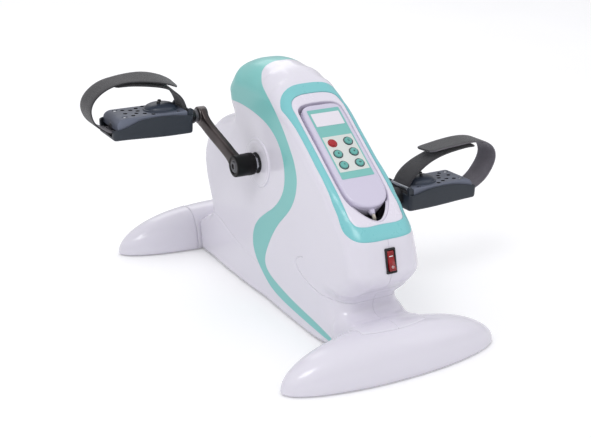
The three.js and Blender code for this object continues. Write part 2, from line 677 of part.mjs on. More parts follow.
// board with two blocks on top, on two posts
function controlBoard() {
  let solid = box(both(24), [-150, -60], [34, 35.8])
    .add(box([-10, 6], [-120, -100], [35.7, 48]))
    .add(box([10, 20], [-95, -75], [35.7, 44]));
  for (const post of [[-18, -140], [18, -70]]) {
    solid = solid.add(cylinder('z', 3, [RAIL_Z[1] + GAP, 34.2], post, 8));
  }
  return solid;
}
add(world, 'control_board', controlBoard(), FINISH.board);

// ------------------------------------------------------------------ handset
// name, x, distance down the slope, radius
const BUTTONS = [
  ['button_power', -11.5, 55.7, 5.4], ['button_mode', 11.5, 55.7, 5.6],
  ['button_speed_up', -11.5, 73.1, 5.6], ['button_speed_down', 11.5, 73.1, 5.6],
  ['button_time', -11.5, 90.9, 5.6], ['button_reverse', 11.5, 90.9, 5.6],
];
const handset = new THREE.Group();
world.add(handset);

const handsetBack = prismConsole(HANDSET, [-24.5, -8.2], 3)
  .subtract(prismConsole(inset(HANDSET, 2.4), [-22, -7]));
add(handset, 'handset_back', handsetBack, FINISH.handset);

function cutButtonHoles(solid) {
  return BUTTONS.reduce((cut, [, x, down, radius]) =>
    cut.subtract(prismConsole(ring(radius + GAP, 12, [-x, down]), [-10, 3])), solid);
}
const handsetFront = prismConsole(HANDSET, [-7.9, -1.2], 2.2)
  .subtract(prismConsole(inset(HANDSET, 2.6), [-12, -4.2]));
add(handset, 'handset_front', cutButtonHoles(handsetFront), FINISH.handset);

const displayOutline = (grow) => chamferedRect(20.8 + grow, 6.3 - grow, 27.6 + grow, 0.8);
const label = cutButtonHoles(prismConsole(chamferedRect(23.6, 0, 111.3, 1.2), [-1, 0.2]))
  .subtract(prismConsole(displayOutline(GAP), [-10, 3]));
add(handset, 'control_label', label, FINISH.label);
add(handset, 'display_window', prismConsole(displayOutline(0), [-0.9, 0.3]), FINISH.display);

const handsetBoard = prismConsole(inset(HANDSET, 4), [-9.6, -8])
  .intersect(prismConsole(chamferedRect(30, 4, 130, 1), [-20, 0]));
add(handset, 'handset_board', handsetBoard, FINISH.board);

for (const [name, x, down, radius] of BUTTONS) {
  const finish = name === 'button_power' ? FINISH.powerButton : FINISH.button;
  add(handset, name, prismConsole(ring(radius, 12, [-x, down]), [-6, 1.6], 0.5), finish);
}

// cord from the handset's lower end through the tray floor to the control board
function handsetCord() {
  // distance down the slope, height out of it
  const onConsole = [[158.4, -12], [163, -12.5], [166.2, -17], [166.7, -24], [166.4, -34]];
  // y, z
  const inBody = [[-170, 138], [-158, 108], [-146, 75], [-141, 50], [-140, 37]];
  const path = new THREE.CatmullRomCurve3([
    ...onConsole.map((point) => new THREE.Vector3(0, ...point).applyMatrix4(CONSOLE_MATRIX)),
    ...inBody.map((point) => new THREE.Vector3(0, ...point)),
  ]);
  return toSolid(new THREE.ExtrudeGeometry(new THREE.Shape(toVectors(ring(2.6, 8))),
    { steps: 20, extrudePath: path, bevelEnabled: false }));
}
add(world, 'handset_cord', handsetCord(), FINISH.cord);

export default object;
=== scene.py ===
# Looks for the pedal exerciser: smooth moulded shells, console, handset, cranks,
# pedals and straps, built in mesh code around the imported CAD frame.
import bpy, bmesh, math
import numpy as np
from mathutils import Vector, Matrix


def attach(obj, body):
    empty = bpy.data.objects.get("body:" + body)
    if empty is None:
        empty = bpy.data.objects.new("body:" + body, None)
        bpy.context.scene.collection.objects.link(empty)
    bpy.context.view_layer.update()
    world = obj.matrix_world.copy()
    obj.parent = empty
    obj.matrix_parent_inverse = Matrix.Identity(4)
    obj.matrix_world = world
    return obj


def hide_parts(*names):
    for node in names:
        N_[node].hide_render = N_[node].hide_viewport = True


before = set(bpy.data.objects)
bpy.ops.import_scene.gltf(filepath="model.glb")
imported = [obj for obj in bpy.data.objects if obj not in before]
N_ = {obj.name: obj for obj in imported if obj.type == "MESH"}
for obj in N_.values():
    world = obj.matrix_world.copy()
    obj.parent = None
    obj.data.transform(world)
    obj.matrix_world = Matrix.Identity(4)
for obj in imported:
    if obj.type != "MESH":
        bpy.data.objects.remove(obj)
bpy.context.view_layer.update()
MM = 0.001

# --------------------------------------------------------------------------
# dimensions shared with the CAD frame (millimetres)
HALF_W = 49.5
CY, CZ, CR, CDEG = 17.2, 196.7, 95.0, 33.4
SLOPE = math.radians(35.3)
P0 = np.array([0.0, -66.1, 286.8])
ES = np.array([0.0, -math.cos(SLOPE), -math.sin(SLOPE)])
EN = np.array([0.0, -math.sin(SLOPE), math.cos(SLOPE)])
EX = np.array([1.0, 0.0, 0.0])
FRONT = dict(yc=-244.5, a=155.5, b=41.0, h=56.0, e=2.45, px=2.0)
REAR = dict(yc=243.5, a=168.0, b=41.0, h=59.0, e=2.2, px=2.2)
FOOT_Z0 = 2.0

# --------------------------------------------------------------------------
# materials
def srgb(r, g, b):
    f = lambda c: (c / 255 / 12.92) if c / 255 <= 0.04045 else ((c / 255 + 0.055) / 1.055) ** 2.4
    return (f(r), f(g), f(b), 1.0)

class Nodes:
    def __init__(self, name):
        self.m = bpy.data.materials.new(name)
        self.m.use_nodes = True
        self.t = self.m.node_tree
        self.b = self.t.nodes["Principled BSDF"]
        self.co = self.t.nodes.new("ShaderNodeTexCoord")
    def new(self, kind, **kw):
        n = self.t.nodes.new(kind)
        for k, v in kw.items():
            if k in n.inputs: n.inputs[k].default_value = v
            else: setattr(n, k, v)
        return n
    def link(self, a, b): self.t.links.new(a, b)
    def noise(self, scale, detail=3.0, rough=0.5, vec=None):
        n = self.new("ShaderNodeTexNoise", Scale=scale, Detail=detail, Roughness=rough)
        self.link(vec or self.co.outputs["Object"], n.inputs["Vector"])
        return n
    def ramp(self, src, stops):
        r = self.t.nodes.new("ShaderNodeValToRGB")
        e = r.color_ramp.elements
        while len(e) < len(stops): e.new(0.5)
        for el, (p, c) in zip(e, stops):
            el.position = p; el.color = c if len(c) == 4 else (*c, 1)
        self.link(src, r.inputs["Fac"])
        return r
    def mix(self, fac, a, b, blend="MIX"):
        n = self.t.nodes.new("ShaderNodeMix"); n.data_type = "RGBA"; n.blend_type = blend
        for s, v in ((n.inputs[0], fac), (n.inputs[6], a), (n.inputs[7], b)):
            if isinstance(v, (int, float, tuple, list)): s.default_value = v
            else: self.link(v, s)
        return n.outputs[2]
    def math(self, op, a, b=0.0, c=None):
        n = self.t.nodes.new("ShaderNodeMath"); n.operation = op
        for i, v in enumerate((a, b) if c is None else (a, b, c)):
            if isinstance(v, (int, float)): n.inputs[i].default_value = v
            else: self.link(v, n.inputs[i])
        return n.outputs[0]
    def bump(self, height, strength=0.2, dist=0.0002, normal=None):
        n = self.new("ShaderNodeBump", Strength=strength, Distance=dist)
        self.link(height, n.inputs["Height"])
        if normal is not None: self.link(normal, n.inputs["Normal"])
        self.link(n.outputs["Normal"], self.b.inputs["Normal"])
        return n.outputs["Normal"]
    def rough(self, src, lo, hi):
        n = self.new("ShaderNodeMapRange"); n.inputs["To Min"].default_value = lo; n.inputs["To Max"].default_value = hi
        self.link(src, n.inputs["Value"]); self.link(n.outputs["Result"], self.b.inputs["Roughness"])
        return n.outputs["Result"]

def plastic(name, col, rough=(0.2, 0.3), grain=0.0, grain_scale=1400, coat=0.0, shift=0.03, sss=0.0):
    """Moulded plastic: faint cloudy tone, slow gloss variation, micro-texture."""
    n = Nodes(name)
    big = n.noise(9, 2.0)
    fine = n.noise(160, 3.0)
    lo = tuple(c * (1 - shift) for c in col[:3]) + (1,); hi = tuple(min(1, c * (1 + shift)) for c in col[:3]) + (1,)
    c = n.ramp(big.outputs["Fac"], [(0.3, lo), (0.7, hi)])
    n.link(c.outputs["Color"], n.b.inputs["Base Color"])
    n.rough(fine.outputs["Fac"], *rough)
    if grain:
        g = n.noise(grain_scale, 2.0, 0.6)
        n.bump(g.outputs["Fac"], grain, 0.00012)
    else:
        g = n.noise(70, 2.0, 0.5)
        n.bump(g.outputs["Fac"], 0.02, 0.0004)
    n.b.inputs["Coat Weight"].default_value = coat
    n.b.inputs["Coat Roughness"].default_value = 0.12
    if sss:
        n.b.inputs["Subsurface Weight"].default_value = sss
        n.b.inputs["Subsurface Radius"].default_value = (0.004, 0.0035, 0.0045)
        n.b.inputs["Subsurface Scale"].default_value = 0.5
    n.b.inputs["Specular IOR Level"].default_value = 0.5
    return n.m

def metal(name, col, rough=(0.2, 0.35), brushed=None, scale=600):
    n = Nodes(name)
    n.b.inputs["Metallic"].default_value = 1.0
    src = n.co.outputs["Object"]
    if brushed is not None:
        mp = n.new("ShaderNodeMapping"); n.link(src, mp.inputs["Vector"])
        mp.inputs["Scale"].default_value = brushed
        src = mp.outputs["Vector"]
    g = n.noise(scale, 4.0, 0.6, src)
    w = n.noise(30, 3.0)
    c = n.ramp(w.outputs["Fac"], [(0.3, tuple(c * 0.9 for c in col[:3])), (0.75, col[:3])])
    n.link(c.outputs["Color"], n.b.inputs["Base Color"])
    n.rough(g.outputs["Fac"], *rough)
    n.bump(g.outputs["Fac"], 0.08, 0.0001)
    return n.m

def webbing(name, col, dark, across="X", pitch=0.0016, fuzz=0.0):
    """Woven strap: ribs along the strap and picks across it, from UV in metres."""
    n = Nodes(name)
    uv = n.new("ShaderNodeUVMap"); uv.uv_map = "strap"
    sep = n.new("ShaderNodeSeparateXYZ"); n.link(uv.outputs["UV"], sep.inputs["Vector"])
    k = 2 * math.pi / pitch
    u = n.math("MULTIPLY", sep.outputs["X"], k); v = n.math("MULTIPLY", sep.outputs["Y"], k * 0.8)
    su = n.math("SINE", u); sv = n.math("SINE", v)
    weave = n.math("MULTIPLY", su, sv)
    weave = n.math("MULTIPLY_ADD", weave, 0.5, 0.5)
    fine = n.noise(2600, 3.0, 0.7)
    soft = n.noise(60, 3.0)
    h = n.math("ADD", n.math("MULTIPLY", weave, 1.0 - fuzz), n.math("MULTIPLY", fine.outputs["Fac"], 0.5 + fuzz))
    tone = n.math("ADD", n.math("MULTIPLY", weave, 0.35), n.math("MULTIPLY", fine.outputs["Fac"], 0.55))
    tone = n.math("ADD", tone, n.math("MULTIPLY", soft.outputs["Fac"], 0.25))
    c = n.ramp(tone, [(0.3, dark[:3]), (0.85, col[:3])])
    n.link(c.outputs["Color"], n.b.inputs["Base Color"])
    n.b.inputs["Roughness"].default_value = 0.88
    n.b.inputs["Sheen Weight"].default_value = 0.35
    n.b.inputs["Sheen Roughness"].default_value = 0.5
    n.bump(h, 0.55, 0.0005)
    return n.m

WHITE = plastic("white_gloss_shell", srgb(232, 229, 239), (0.16, 0.26), coat=0.5, shift=0.012, sss=0.06)
WHITE_TRAY = plastic("white_tray", srgb(233, 228, 240), (0.2, 0.32), coat=0.25, shift=0.012)
TEAL = plastic("teal_stripe", srgb(130, 204, 200), (0.26, 0.36), coat=0.25, shift=0.02)
TEAL_L = plastic("teal_console", srgb(128, 204, 208), (0.24, 0.34), coat=0.3, shift=0.02)
LAV = plastic("handset_lavender", srgb(214, 208, 228), (0.2, 0.3), coat=0.3, shift=0.015)
BLACKP = plastic("black_plastic", srgb(24, 24, 27), (0.3, 0.42), grain=0.1)
PEDAL = plastic("pedal_plastic", srgb(40, 47, 56), (0.34, 0.5), grain=0.16, shift=0.06)
TREAD = plastic("tread_plastic", srgb(108, 114, 130), (0.4, 0.58), grain=0.5, grain_scale=2200, shift=0.07)
DOME = plastic("dome_plastic", srgb(62, 70, 84), (0.3, 0.42), grain=0.15, shift=0.05)
RUBBER = plastic("pad_rubber", srgb(34, 34, 37), (0.75, 0.9), grain=0.4, shift=0.08)
CORD = plastic("cord_jacket", srgb(226, 218, 204), (0.38, 0.5), grain=0.06)
BOARD = plastic("circuit_board", srgb(40, 98, 62), (0.35, 0.5), grain=0.1, shift=0.1)
CASE = plastic("gearcase_plastic", srgb(46, 48, 52), (0.5, 0.62), grain=0.3)
STEEL = metal("bright_steel", srgb(198, 200, 205), (0.16, 0.32), (1, 8, 8))
ZINC = metal("zinc_plate", srgb(168, 172, 178), (0.3, 0.45))
FRAMEP = plastic("frame_powder_coat", srgb(64, 67, 72), (0.5, 0.65), grain=0.35, grain_scale=1800)
BRASS = metal("wheel_brass", srgb(196, 166, 92), (0.25, 0.4))
LCD = plastic("display_lens", srgb(236, 231, 240), (0.06, 0.1), coat=1.0, shift=0.01)
KEYPAD = plastic("keypad_film", srgb(222, 226, 222), (0.4, 0.5), grain=0.08)
LABEL = plastic("label_film_teal", srgb(128, 196, 190), (0.4, 0.5), grain=0.08)
INK = plastic("print_ink", srgb(58, 70, 74), (0.5, 0.6))
BTN_T = plastic("button_teal_silicone", srgb(104, 178, 170), (0.5, 0.62), grain=0.12, shift=0.05)
BTN_R = plastic("button_red_silicone", srgb(172, 30, 40), (0.42, 0.55), grain=0.1, shift=0.06)
# lighter copy of the dark strap webbing for the top strap's upper face: painted light on the face turned to the lamps
WEB_LIT_TOP = webbing("strap_webbing_lit_top", srgb(124, 120, 129), srgb(72, 68, 76))
WEB_DARK = webbing("strap_webbing_dark", srgb(43, 41, 46), srgb(18, 17, 20), fuzz=0.3)

def crank_paint():
    n = Nodes("crank_black_chrome")
    w = n.noise(25, 3.0)
    c = n.ramp(w.outputs["Fac"], [(0.3, srgb(58, 52, 52)[:3]), (0.75, srgb(92, 84, 83)[:3])])
    # convex edges (pointiness) are mixed to a lighter grey: a painted edge highlight on the dark arm
    geo = n.t.nodes.new("ShaderNodeNewGeometry")
    edge = n.ramp(geo.outputs["Pointiness"], [(0.53, (0, 0, 0)), (0.6, (1, 1, 1))])
    col = n.mix(edge.outputs["Color"], c.outputs["Color"], srgb(150, 146, 146))
    n.link(col, n.b.inputs["Base Color"])
    n.b.inputs["Metallic"].default_value = 0.75
    g = n.noise(500, 4.0, 0.6)
    n.rough(g.outputs["Fac"], 0.26, 0.4)
    n.bump(g.outputs["Fac"], 0.05, 0.0002)
    return n.m
CRANK = crank_paint()
HUB = plastic("hub_black", srgb(12, 11, 12), (0.34, 0.46), grain=0.5, grain_scale=900, coat=0.0)
HUB.node_tree.nodes["Principled BSDF"].inputs["Specular IOR Level"].default_value = 0.18
BOLTM = metal("crank_bolt_dark", srgb(112, 112, 116), (0.32, 0.46))

def rocker_red():
    n = Nodes("rocker_translucent_red")
    w = n.noise(120, 2.0)
    c = n.ramp(w.outputs["Fac"], [(0.3, srgb(120, 8, 14)[:3]), (0.7, srgb(176, 16, 22)[:3])])
    n.link(c.outputs["Color"], n.b.inputs["Base Color"])
    n.b.inputs["Transmission Weight"].default_value = 0.25
    n.b.inputs["Roughness"].default_value = 0.12
    n.b.inputs["Coat Weight"].default_value = 0.6
    # faint red emission: a painted glow in the translucent rocker
    n.b.inputs["Emission Color"].default_value = srgb(190, 10, 14)
    n.b.inputs["Emission Strength"].default_value = 0.06
    n.bump(w.outputs["Fac"], 0.04, 0.0002)
    return n.m
ROCKER = rocker_red()
WHITE_INK = plastic("white_ink", srgb(236, 236, 236), (0.4, 0.5))

# --------------------------------------------------------------------------
# mesh helpers
def mk(name, V, F, mat, body, replaces=(), sharp=35, normals=None, mats=None, fmat=None):
    """A piece from vertices in millimetres."""
    me = bpy.data.meshes.new(name)
    V = np.asarray(V, float) * MM
    me.from_pydata([tuple(v) for v in V], [], [tuple(int(i) for i in f) for f in F])
    for m in (mats or [mat]): me.materials.append(m)
    if fmat is not None:
        me.polygons.foreach_set("material_index", np.asarray(fmat, dtype=np.int32))
    me.polygons.foreach_set("use_smooth", np.ones(len(me.polygons), dtype=bool))
    me.update()
    if normals is not None:
        me.normals_split_custom_set(normals)
    elif sharp is not None:
        me.set_sharp_from_angle(angle=math.radians(sharp))
    o = bpy.data.objects.new(name, me)
    bpy.context.scene.collection.objects.link(o)
    if replaces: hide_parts(*replaces)
    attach(o, body)
    return o

def bevel(o, width, seg=3, angle=35):
    m = o.modifiers.new("edge", "BEVEL")
    m.width = width * MM; m.segments = seg; m.limit_method = "ANGLE"; m.angle_limit = math.radians(angle)
    m.harden_normals = True
    m.miter_outer = "MITER_ARC"
    return o

def catmull(pts, step=2.0, closed=False):
    """Centripetal Catmull-Rom through pts."""
    P = np.asarray(pts, float)
    n = len(P); out = []
    rng = range(n) if closed else range(n - 1)
    for i in rng:
        p1, p2 = P[i], P[(i + 1) % n]
        p0 = P[(i - 1) % n] if (closed or i > 0) else 2 * p1 - p2
        p3 = P[(i + 2) % n] if (closed or i + 2 < n) else 2 * p2 - p1
        d = lambda a, b: max(1e-6, np.linalg.norm(b - a) ** 0.5)
        t0 = 0; t1 = d(p0, p1); t2 = t1 + d(p1, p2); t3 = t2 + d(p2, p3)
        k = max(1, int(round(np.linalg.norm(p2 - p1) / step)))
        for j in range(k):
            t = t1 + (t2 - t1) * j / k
            A1 = (t1 - t) / (t1 - t0) * p0 + (t - t0) / (t1 - t0) * p1
            A2 = (t2 - t) / (t2 - t1) * p1 + (t - t1) / (t2 - t1) * p2
            A3 = (t3 - t) / (t3 - t2) * p2 + (t - t2) / (t3 - t2) * p3
            B1 = (t2 - t) / (t2 - t0) * A1 + (t - t0) / (t2 - t0) * A2
            B2 = (t3 - t) / (t3 - t1) * A2 + (t - t1) / (t3 - t1) * A3
            out.append((t2 - t) / (t2 - t1) * B1 + (t - t1) / (t2 - t1) * B2)
    if not closed: out.append(P[-1])
    return np.array(out)

def runs(*parts, step=3.0):
    """Closed outline from smooth runs that meet at sharp corners."""
    out = []
    for p in parts:
        out.extend(catmull(p, step)[:-1])
    return np.array(out)

def sd_poly(Q, poly, closed=True):
    """Signed distance of points Q (n,2) to a closed polygon, negative inside (or plain distance to an open line)."""
    Q = np.asarray(Q, float); A = np.asarray(poly, float)
    B = np.roll(A, -1, 0) if closed else A[1:]
    A = A if closed else A[:-1]
    out = np.empty(len(Q)); E = B - A; L = (E ** 2).sum(1); L[L == 0] = 1e-12
    step = max(1, int(4e6 // len(A)))
    for s in range(0, len(Q), step):
        q = Q[s:s + step]
        w = q[:, None, :] - A[None]
        t = np.clip((w * E).sum(2) / L, 0, 1)
        d = ((w - t[..., None] * E) ** 2).sum(2).min(1) ** 0.5
        if closed:
            c1 = A[None, :, 1] > q[:, None, 1]; c2 = B[None, :, 1] > q[:, None, 1]
            dy = B[None, :, 1] - A[None, :, 1]
            xs = A[None, :, 0] + (q[:, None, 1] - A[None, :, 1]) / np.where(dy == 0, 1e-12, dy) * E[None, :, 0]
            ins = ((c1 != c2) & (q[:, None, 0] < xs)).sum(1) % 2 == 1
            d = np.where(ins, -d, d)
        out[s:s + step] = d
    return out

def smin(a, b, k):
    h = np.clip(0.5 + 0.5 * (b - a) / k, 0, 1)
    return b * (1 - h) + a * h - k * h * (1 - h)
def smax(a, b, k): return -smin(-a, -b, k)
def sstep(x, a, b):
    t = np.clip((x - a) / (b - a), 0, 1); return t * t * (3 - 2 * t)

class Table:
    """Bicubic lookup of a 2-D field sampled on a regular grid."""
    def __init__(self, fn, a0, a1, b0, b1, h=1.0):
        self.a0, self.b0, self.h = a0, b0, h
        a = np.arange(a0, a1 + h, h); b = np.arange(b0, b1 + h, h)
        AA, BB = np.meshgrid(a, b, indexing="ij")
        self.T = fn(np.stack([AA.ravel(), BB.ravel()], 1)).reshape(AA.shape)
    def __call__(self, a, b):
        T = self.T; na, nb = T.shape
        fa = np.clip((a - self.a0) / self.h, 1, na - 3.001); fb = np.clip((b - self.b0) / self.h, 1, nb - 3.001)
        ia = fa.astype(int); ib = fb.astype(int); ta = fa - ia; tb = fb - ib
        def w(t): return (-0.5 * t + t * t - 0.5 * t ** 3, 1 - 2.5 * t * t + 1.5 * t ** 3, 0.5 * t + 2 * t * t - 1.5 * t ** 3, -0.5 * t * t + 0.5 * t ** 3)
        wa, wb = w(ta), w(tb); out = 0
        for i in range(4):
            for j in range(4):
                out = out + wa[i] * wb[j] * T[ia + i - 1, ib + j - 1]
        return out

def surface_net(fn, lo, hi, h):
    """Smooth iso-surface of fn(x,y,z)=0: surface nets, then pulled exactly onto the surface. Returns V, quads, normals."""
    ax = [np.arange(lo[i], hi[i] + h, h) for i in range(3)]
    X, Y, Z = np.meshgrid(*ax, indexing="ij")
    F = fn(X.ravel(), Y.ravel(), Z.ravel()).reshape(X.shape)
    ins = F < 0
    c = [F[i:F.shape[0] - 1 + i, j:F.shape[1] - 1 + j, k:F.shape[2] - 1 + k] for i in (0, 1) for j in (0, 1) for k in (0, 1)]
    s = sum((q < 0).astype(np.int8) for q in c)
    act = (s > 0) & (s < 8)
    idx = -np.ones(act.shape, int); idx[act] = np.arange(act.sum())
    I, J, K = np.nonzero(act)
    cv = np.stack([q[act] for q in c], 1)
    corner = np.array([(i, j, k) for i in (0, 1) for j in (0, 1) for k in (0, 1)], float)
    edges = [(a, b) for a in range(8) for b in range(a + 1, 8) if np.abs(corner[a] - corner[b]).sum() == 1]
    acc = np.zeros((len(I), 3)); cnt = np.zeros(len(I))
    for a, b in edges:
        fa, fb = cv[:, a], cv[:, b]; m = (fa < 0) != (fb < 0)
        t = np.where(m, fa / np.where(fa - fb == 0, 1, fa - fb), 0)
        acc += m[:, None] * (corner[a] + t[:, None] * (corner[b] - corner[a])); cnt += m
    V = (np.stack([I, J, K], 1) + acc / cnt[:, None]) * h + np.array(lo)
    quads = []
    def emit(axis):
        sl0 = [slice(None)] * 3; sl1 = [slice(None)] * 3
        sl0[axis] = slice(0, -1); sl1[axis] = slice(1, None)
        a = ins[tuple(sl0)]; b = ins[tuple(sl1)]
        cr = a != b
        o = [x for x in range(3) if x != axis]
        # interior edges only
        m = np.zeros_like(cr); sl = [slice(None)] * 3
        sl[o[0]] = slice(1, -1); sl[o[1]] = slice(1, -1); m[tuple(sl)] = True
        cr &= m
        P = np.stack(np.nonzero(cr), 1)
        if not len(P): return
        d0 = np.zeros(3, int); d1 = np.zeros(3, int); d0[o[0]] = 1; d1[o[1]] = 1
        q = [idx[tuple((P - e).T)] for e in (d0 + d1, d1, np.zeros(3, int), d0)]
        q = np.stack(q, 1)
        flip = a[tuple(P.T)] if axis != 1 else ~a[tuple(P.T)]
        q[~flip] = q[~flip][:, ::-1]
        quads.append(q[(q >= 0).all(1)])
    for axq in range(3): emit(axq)
    Q = np.concatenate(quads)
    eps = 0.35
    for it in range(4):
        f = fn(*V.T)
        G = np.stack([(fn(*(V + d).T) - fn(*(V - d).T)) / (2 * eps) for d in np.eye(3) * eps], 1)
        g2 = (G ** 2).sum(1); g2[g2 < 1e-4] = 1
        stepv = f[:, None] * G / g2[:, None]
        ln = np.linalg.norm(stepv, axis=1); k = np.minimum(1, 0.6 * h / np.maximum(ln, 1e-9))
        V = V - stepv * k[:, None]
    N = G / np.sqrt(g2)[:, None]
    return V, Q, N

def clip(V, T, N, D):
    """Keeps the part of a triangle mesh where D >= 0; new points lie on D = 0."""
    keep = D >= 0
    k3 = keep[T]; cnt = k3.sum(1)
    out = [T[cnt == 3]]
    newV = [V]; newN = [N]; extra = {}; nv = [len(V)]; addV = []; addN = []
    def cut(a, b):
        key = (a, b) if a < b else (b, a)
        if key not in extra:
            t = D[a] / (D[a] - D[b]); t = min(max(t, 0.02), 0.98)
            addV.append(V[a] + t * (V[b] - V[a])); n = N[a] + t * (N[b] - N[a]); addN.append(n / max(1e-9, np.linalg.norm(n)))
            extra[key] = nv[0]; nv[0] += 1
        return extra[key]
    tri = []
    for t in T[(cnt == 1) | (cnt == 2)]:
        t = [int(x) for x in t]; kk = [bool(keep[x]) for x in t]
        while not (kk[0] and not kk[2]) : t = t[1:] + t[:1]; kk = kk[1:] + kk[:1]
        if kk[1]:   # two kept: t0, t1
            a = cut(t[1], t[2]); b = cut(t[0], t[2]); tri += [(t[0], t[1], a), (t[0], a, b)]
        else:       # one kept: t0
            a = cut(t[0], t[1]); b = cut(t[0], t[2]); tri += [(t[0], a, b)]
    if tri: out.append(np.array(tri, int))
    T2 = np.concatenate(out)
    V2 = np.concatenate([V, np.array(addV).reshape(-1, 3)]); N2 = np.concatenate([N, np.array(addN).reshape(-1, 3)])
    used = np.zeros(len(V2), bool); used[T2.ravel()] = True
    remap = -np.ones(len(V2), int); remap[used] = np.arange(used.sum())
    return V2[used], remap[T2], N2[used]

def shell_piece(name, V, T, N, mat, body, depth=2.4, replaces=(), merge=True):
    """Open surface V,T with normals N, given a rim that turns inwards along every free edge."""
    e = {}
    for a, b, c in T:
        for p, q in ((a, b), (b, c), (c, a)): e[(p, q)] = e.get((p, q), 0) + 1
    free = [(p, q) for (p, q) in e if (q, p) not in e]
    rim = sorted({p for pq in free for p in pq})
    # in-surface direction away from the free edge, for a small edge radius
    tang = np.zeros((len(V), 3))
    for p, q in free:
        d = V[q] - V[p]; t = np.cross(N[p] + N[q], d); l = np.linalg.norm(t)
        if l > 1e-9: tang[p] += t / l; tang[q] += t / l
    l = np.linalg.norm(tang, axis=1); l[l < 1e-9] = 1; tang /= l[:, None]
    i1 = {v: len(V) + k for k, v in enumerate(rim)}
    i2 = {v: len(V) + len(rim) + k for k, v in enumerate(rim)}
    R = np.array(rim)
    V1 = V[R] - N[R] * 0.35 - tang[R] * 0.22
    V2 = V[R] - N[R] * depth - tang[R] * 0.25
    VV = np.concatenate([V, V1, V2])
    F = [tuple(t) for t in T]
    n_outer = len(F)
    for p, q in free:
        F.append((q, p, i1[p], i1[q])); F.append((i1[q], i1[p], i2[p], i2[q]))
    loops = []
    NN = np.concatenate([N, N[R] * 0.6 - tang[R] * 0.8, -tang[R]])
    nn = np.linalg.norm(NN, axis=1); nn[nn < 1e-9] = 1; NN /= nn[:, None]
    for fi, f in enumerate(F):
        for v in f: loops.append(tuple(NN[v]))
    return mk(name, VV, F, mat, body, replaces, normals=loops)

def tris(Q): return np.concatenate([Q[:, [0, 1, 2]], Q[:, [0, 2, 3]]])

def lathe(profile, seg=64, axis="x", origin=(0, 0, 0), ang0=0.0):
    """Closed solid of revolution; profile is [(axial, radius), ...] from axis to axis."""
    V = []; F = []
    n = len(profile)
    for s in range(seg):
        t = 2 * math.pi * s / seg + ang0
        for a, r in profile:
            c, d = r * math.cos(t), r * math.sin(t)
            V.append((a, c, d) if axis == "x" else ((c, a, d) if axis == "y" else (c, d, a)))
    for s in range(seg):
        for i in range(n - 1):
            a = s * n + i; b = ((s + 1) % seg) * n + i
            F.append((a, b, b + 1, a + 1))
    V = np.array(V) + np.array(origin)
    return weld(V, F)

def weld(V, F, tol=1e-5):
    key = np.round(V / tol).astype(np.int64)
    _, first, inv = np.unique(key, axis=0, return_index=True, return_inverse=True)
    inv = inv.ravel()
    out = []
    for f in F:
        g = []
        for v in f:
            w = int(inv[v])
            if not g or (w != g[-1]): g.append(w)
        if len(g) > 1 and g[0] == g[-1]: g.pop()
        if len(set(g)) >= 3 and len(set(g)) == len(g): out.append(tuple(g))
    return V[first], out

def orient(o):
    bm = bmesh.new(); bm.from_mesh(o.data); bmesh.ops.recalc_face_normals(bm, faces=bm.faces); bm.to_mesh(o.data); bm.free()
    return o

def join_parts(parts):
    V = []; F = []; n = 0
    for v, f in parts:
        V.append(np.asarray(v, float)); F += [tuple(i + n for i in g) for g in f]; n += len(v)
    return np.concatenate(V), F

def loft(rings, cap0=True, cap1=True):
    """Quads between closed rings of equal length."""
    n = len(rings[0]); V = np.concatenate([np.asarray(r, float) for r in rings]); F = []
    for i in range(len(rings) - 1):
        for j in range(n):
            k = (j + 1) % n; a = i * n
            F.append((a + j, a + k, a + n + k, a + n + j))
    if cap0: F.append(tuple(reversed(range(n))))
    if cap1: F.append(tuple(range((len(rings) - 1) * n, len(rings) * n)))
    return V, F

# --------------------------------------------------------------------------
# body: a rounded side profile, blended onto the front foot
PROF = runs(
    [(-203.2, 3.2), (201.2, 3.2)],
    [(201.2, 3.2), (202.4, 14), (205, 26), (209, 37), (212.6, 45.5)],
    [(212.6, 45.5), (203, 52.5), (190, 62), (178, 70.5), (170.5, 78), (169.5, 86), (173.5, 95), (180, 106), (188, 124),
     (194, 140), (196.4, 156), (193.5, 172), (187, 188), (176, 203), (163, 214.5), (147, 225.5), (129, 234.5), (114, 240.5), (102, 245.5)],
    [(102, 245.5), (108, 251.5), (114.5, 258.5), (119.5, 266.5), (122.5, 276), (120.5, 288), (113.5, 300), (104, 311), (92, 319.5), (75, 325),
     (54, 327.5), (30, 326.5), (6, 322.3), (-14, 315.3), (-30.6, 305.8)],
    [(-30.6, 305.8), (-210.1, 178.7)],
    [(-210.1, 178.7), (-218.5, 172.3), (-224.5, 165), (-228.6, 155), (-233.3, 138.1), (-236.6, 125.5), (-236.4, 118),
     (-233.5, 110), (-228.5, 103.5), (-220.5, 96), (-211, 88), (-204, 80), (-199.8, 71.5), (-198.8, 62), (-200.5, 50),
     (-203.2, 3.2)])
T_PROF = Table(lambda Q: sd_poly(Q, PROF), -262, 240, -14, 350, 1.5)
RAD = np.array([(75, 325, 44), (30, 326, 44), (0, 318, 36), (112, 300, 34), (121, 276, 30), (112, 246, 20), (-30, 308, 27),
                (-50, 298, 23), (-66, 287, 18), (-78, 278, 17), (-119, 249, 17), (-162, 219, 14), (-186, 202, 18), (-206, 187, 24), (-226, 165, 27), (-236, 125, 23), (-228, 103, 26),
                (-205, 80, 20), (-199, 60, 14), (196, 150, 18), (182, 110, 16), (150, 225, 18), (205, 50, 9), (205, 20, 6),
                (100, 3, 4), (-100, 3, 4), (170, 80, 14)], float)
def rad_of(Q):
    d2 = ((Q[:, None, :] - RAD[None, :, :2]) ** 2).sum(2) + 60.0
    w = d2 ** -2
    return (w * RAD[:, 2]).sum(1) / w.sum(1)
T_RAD = Table(rad_of, -262, 240, -14, 350, 4.0)

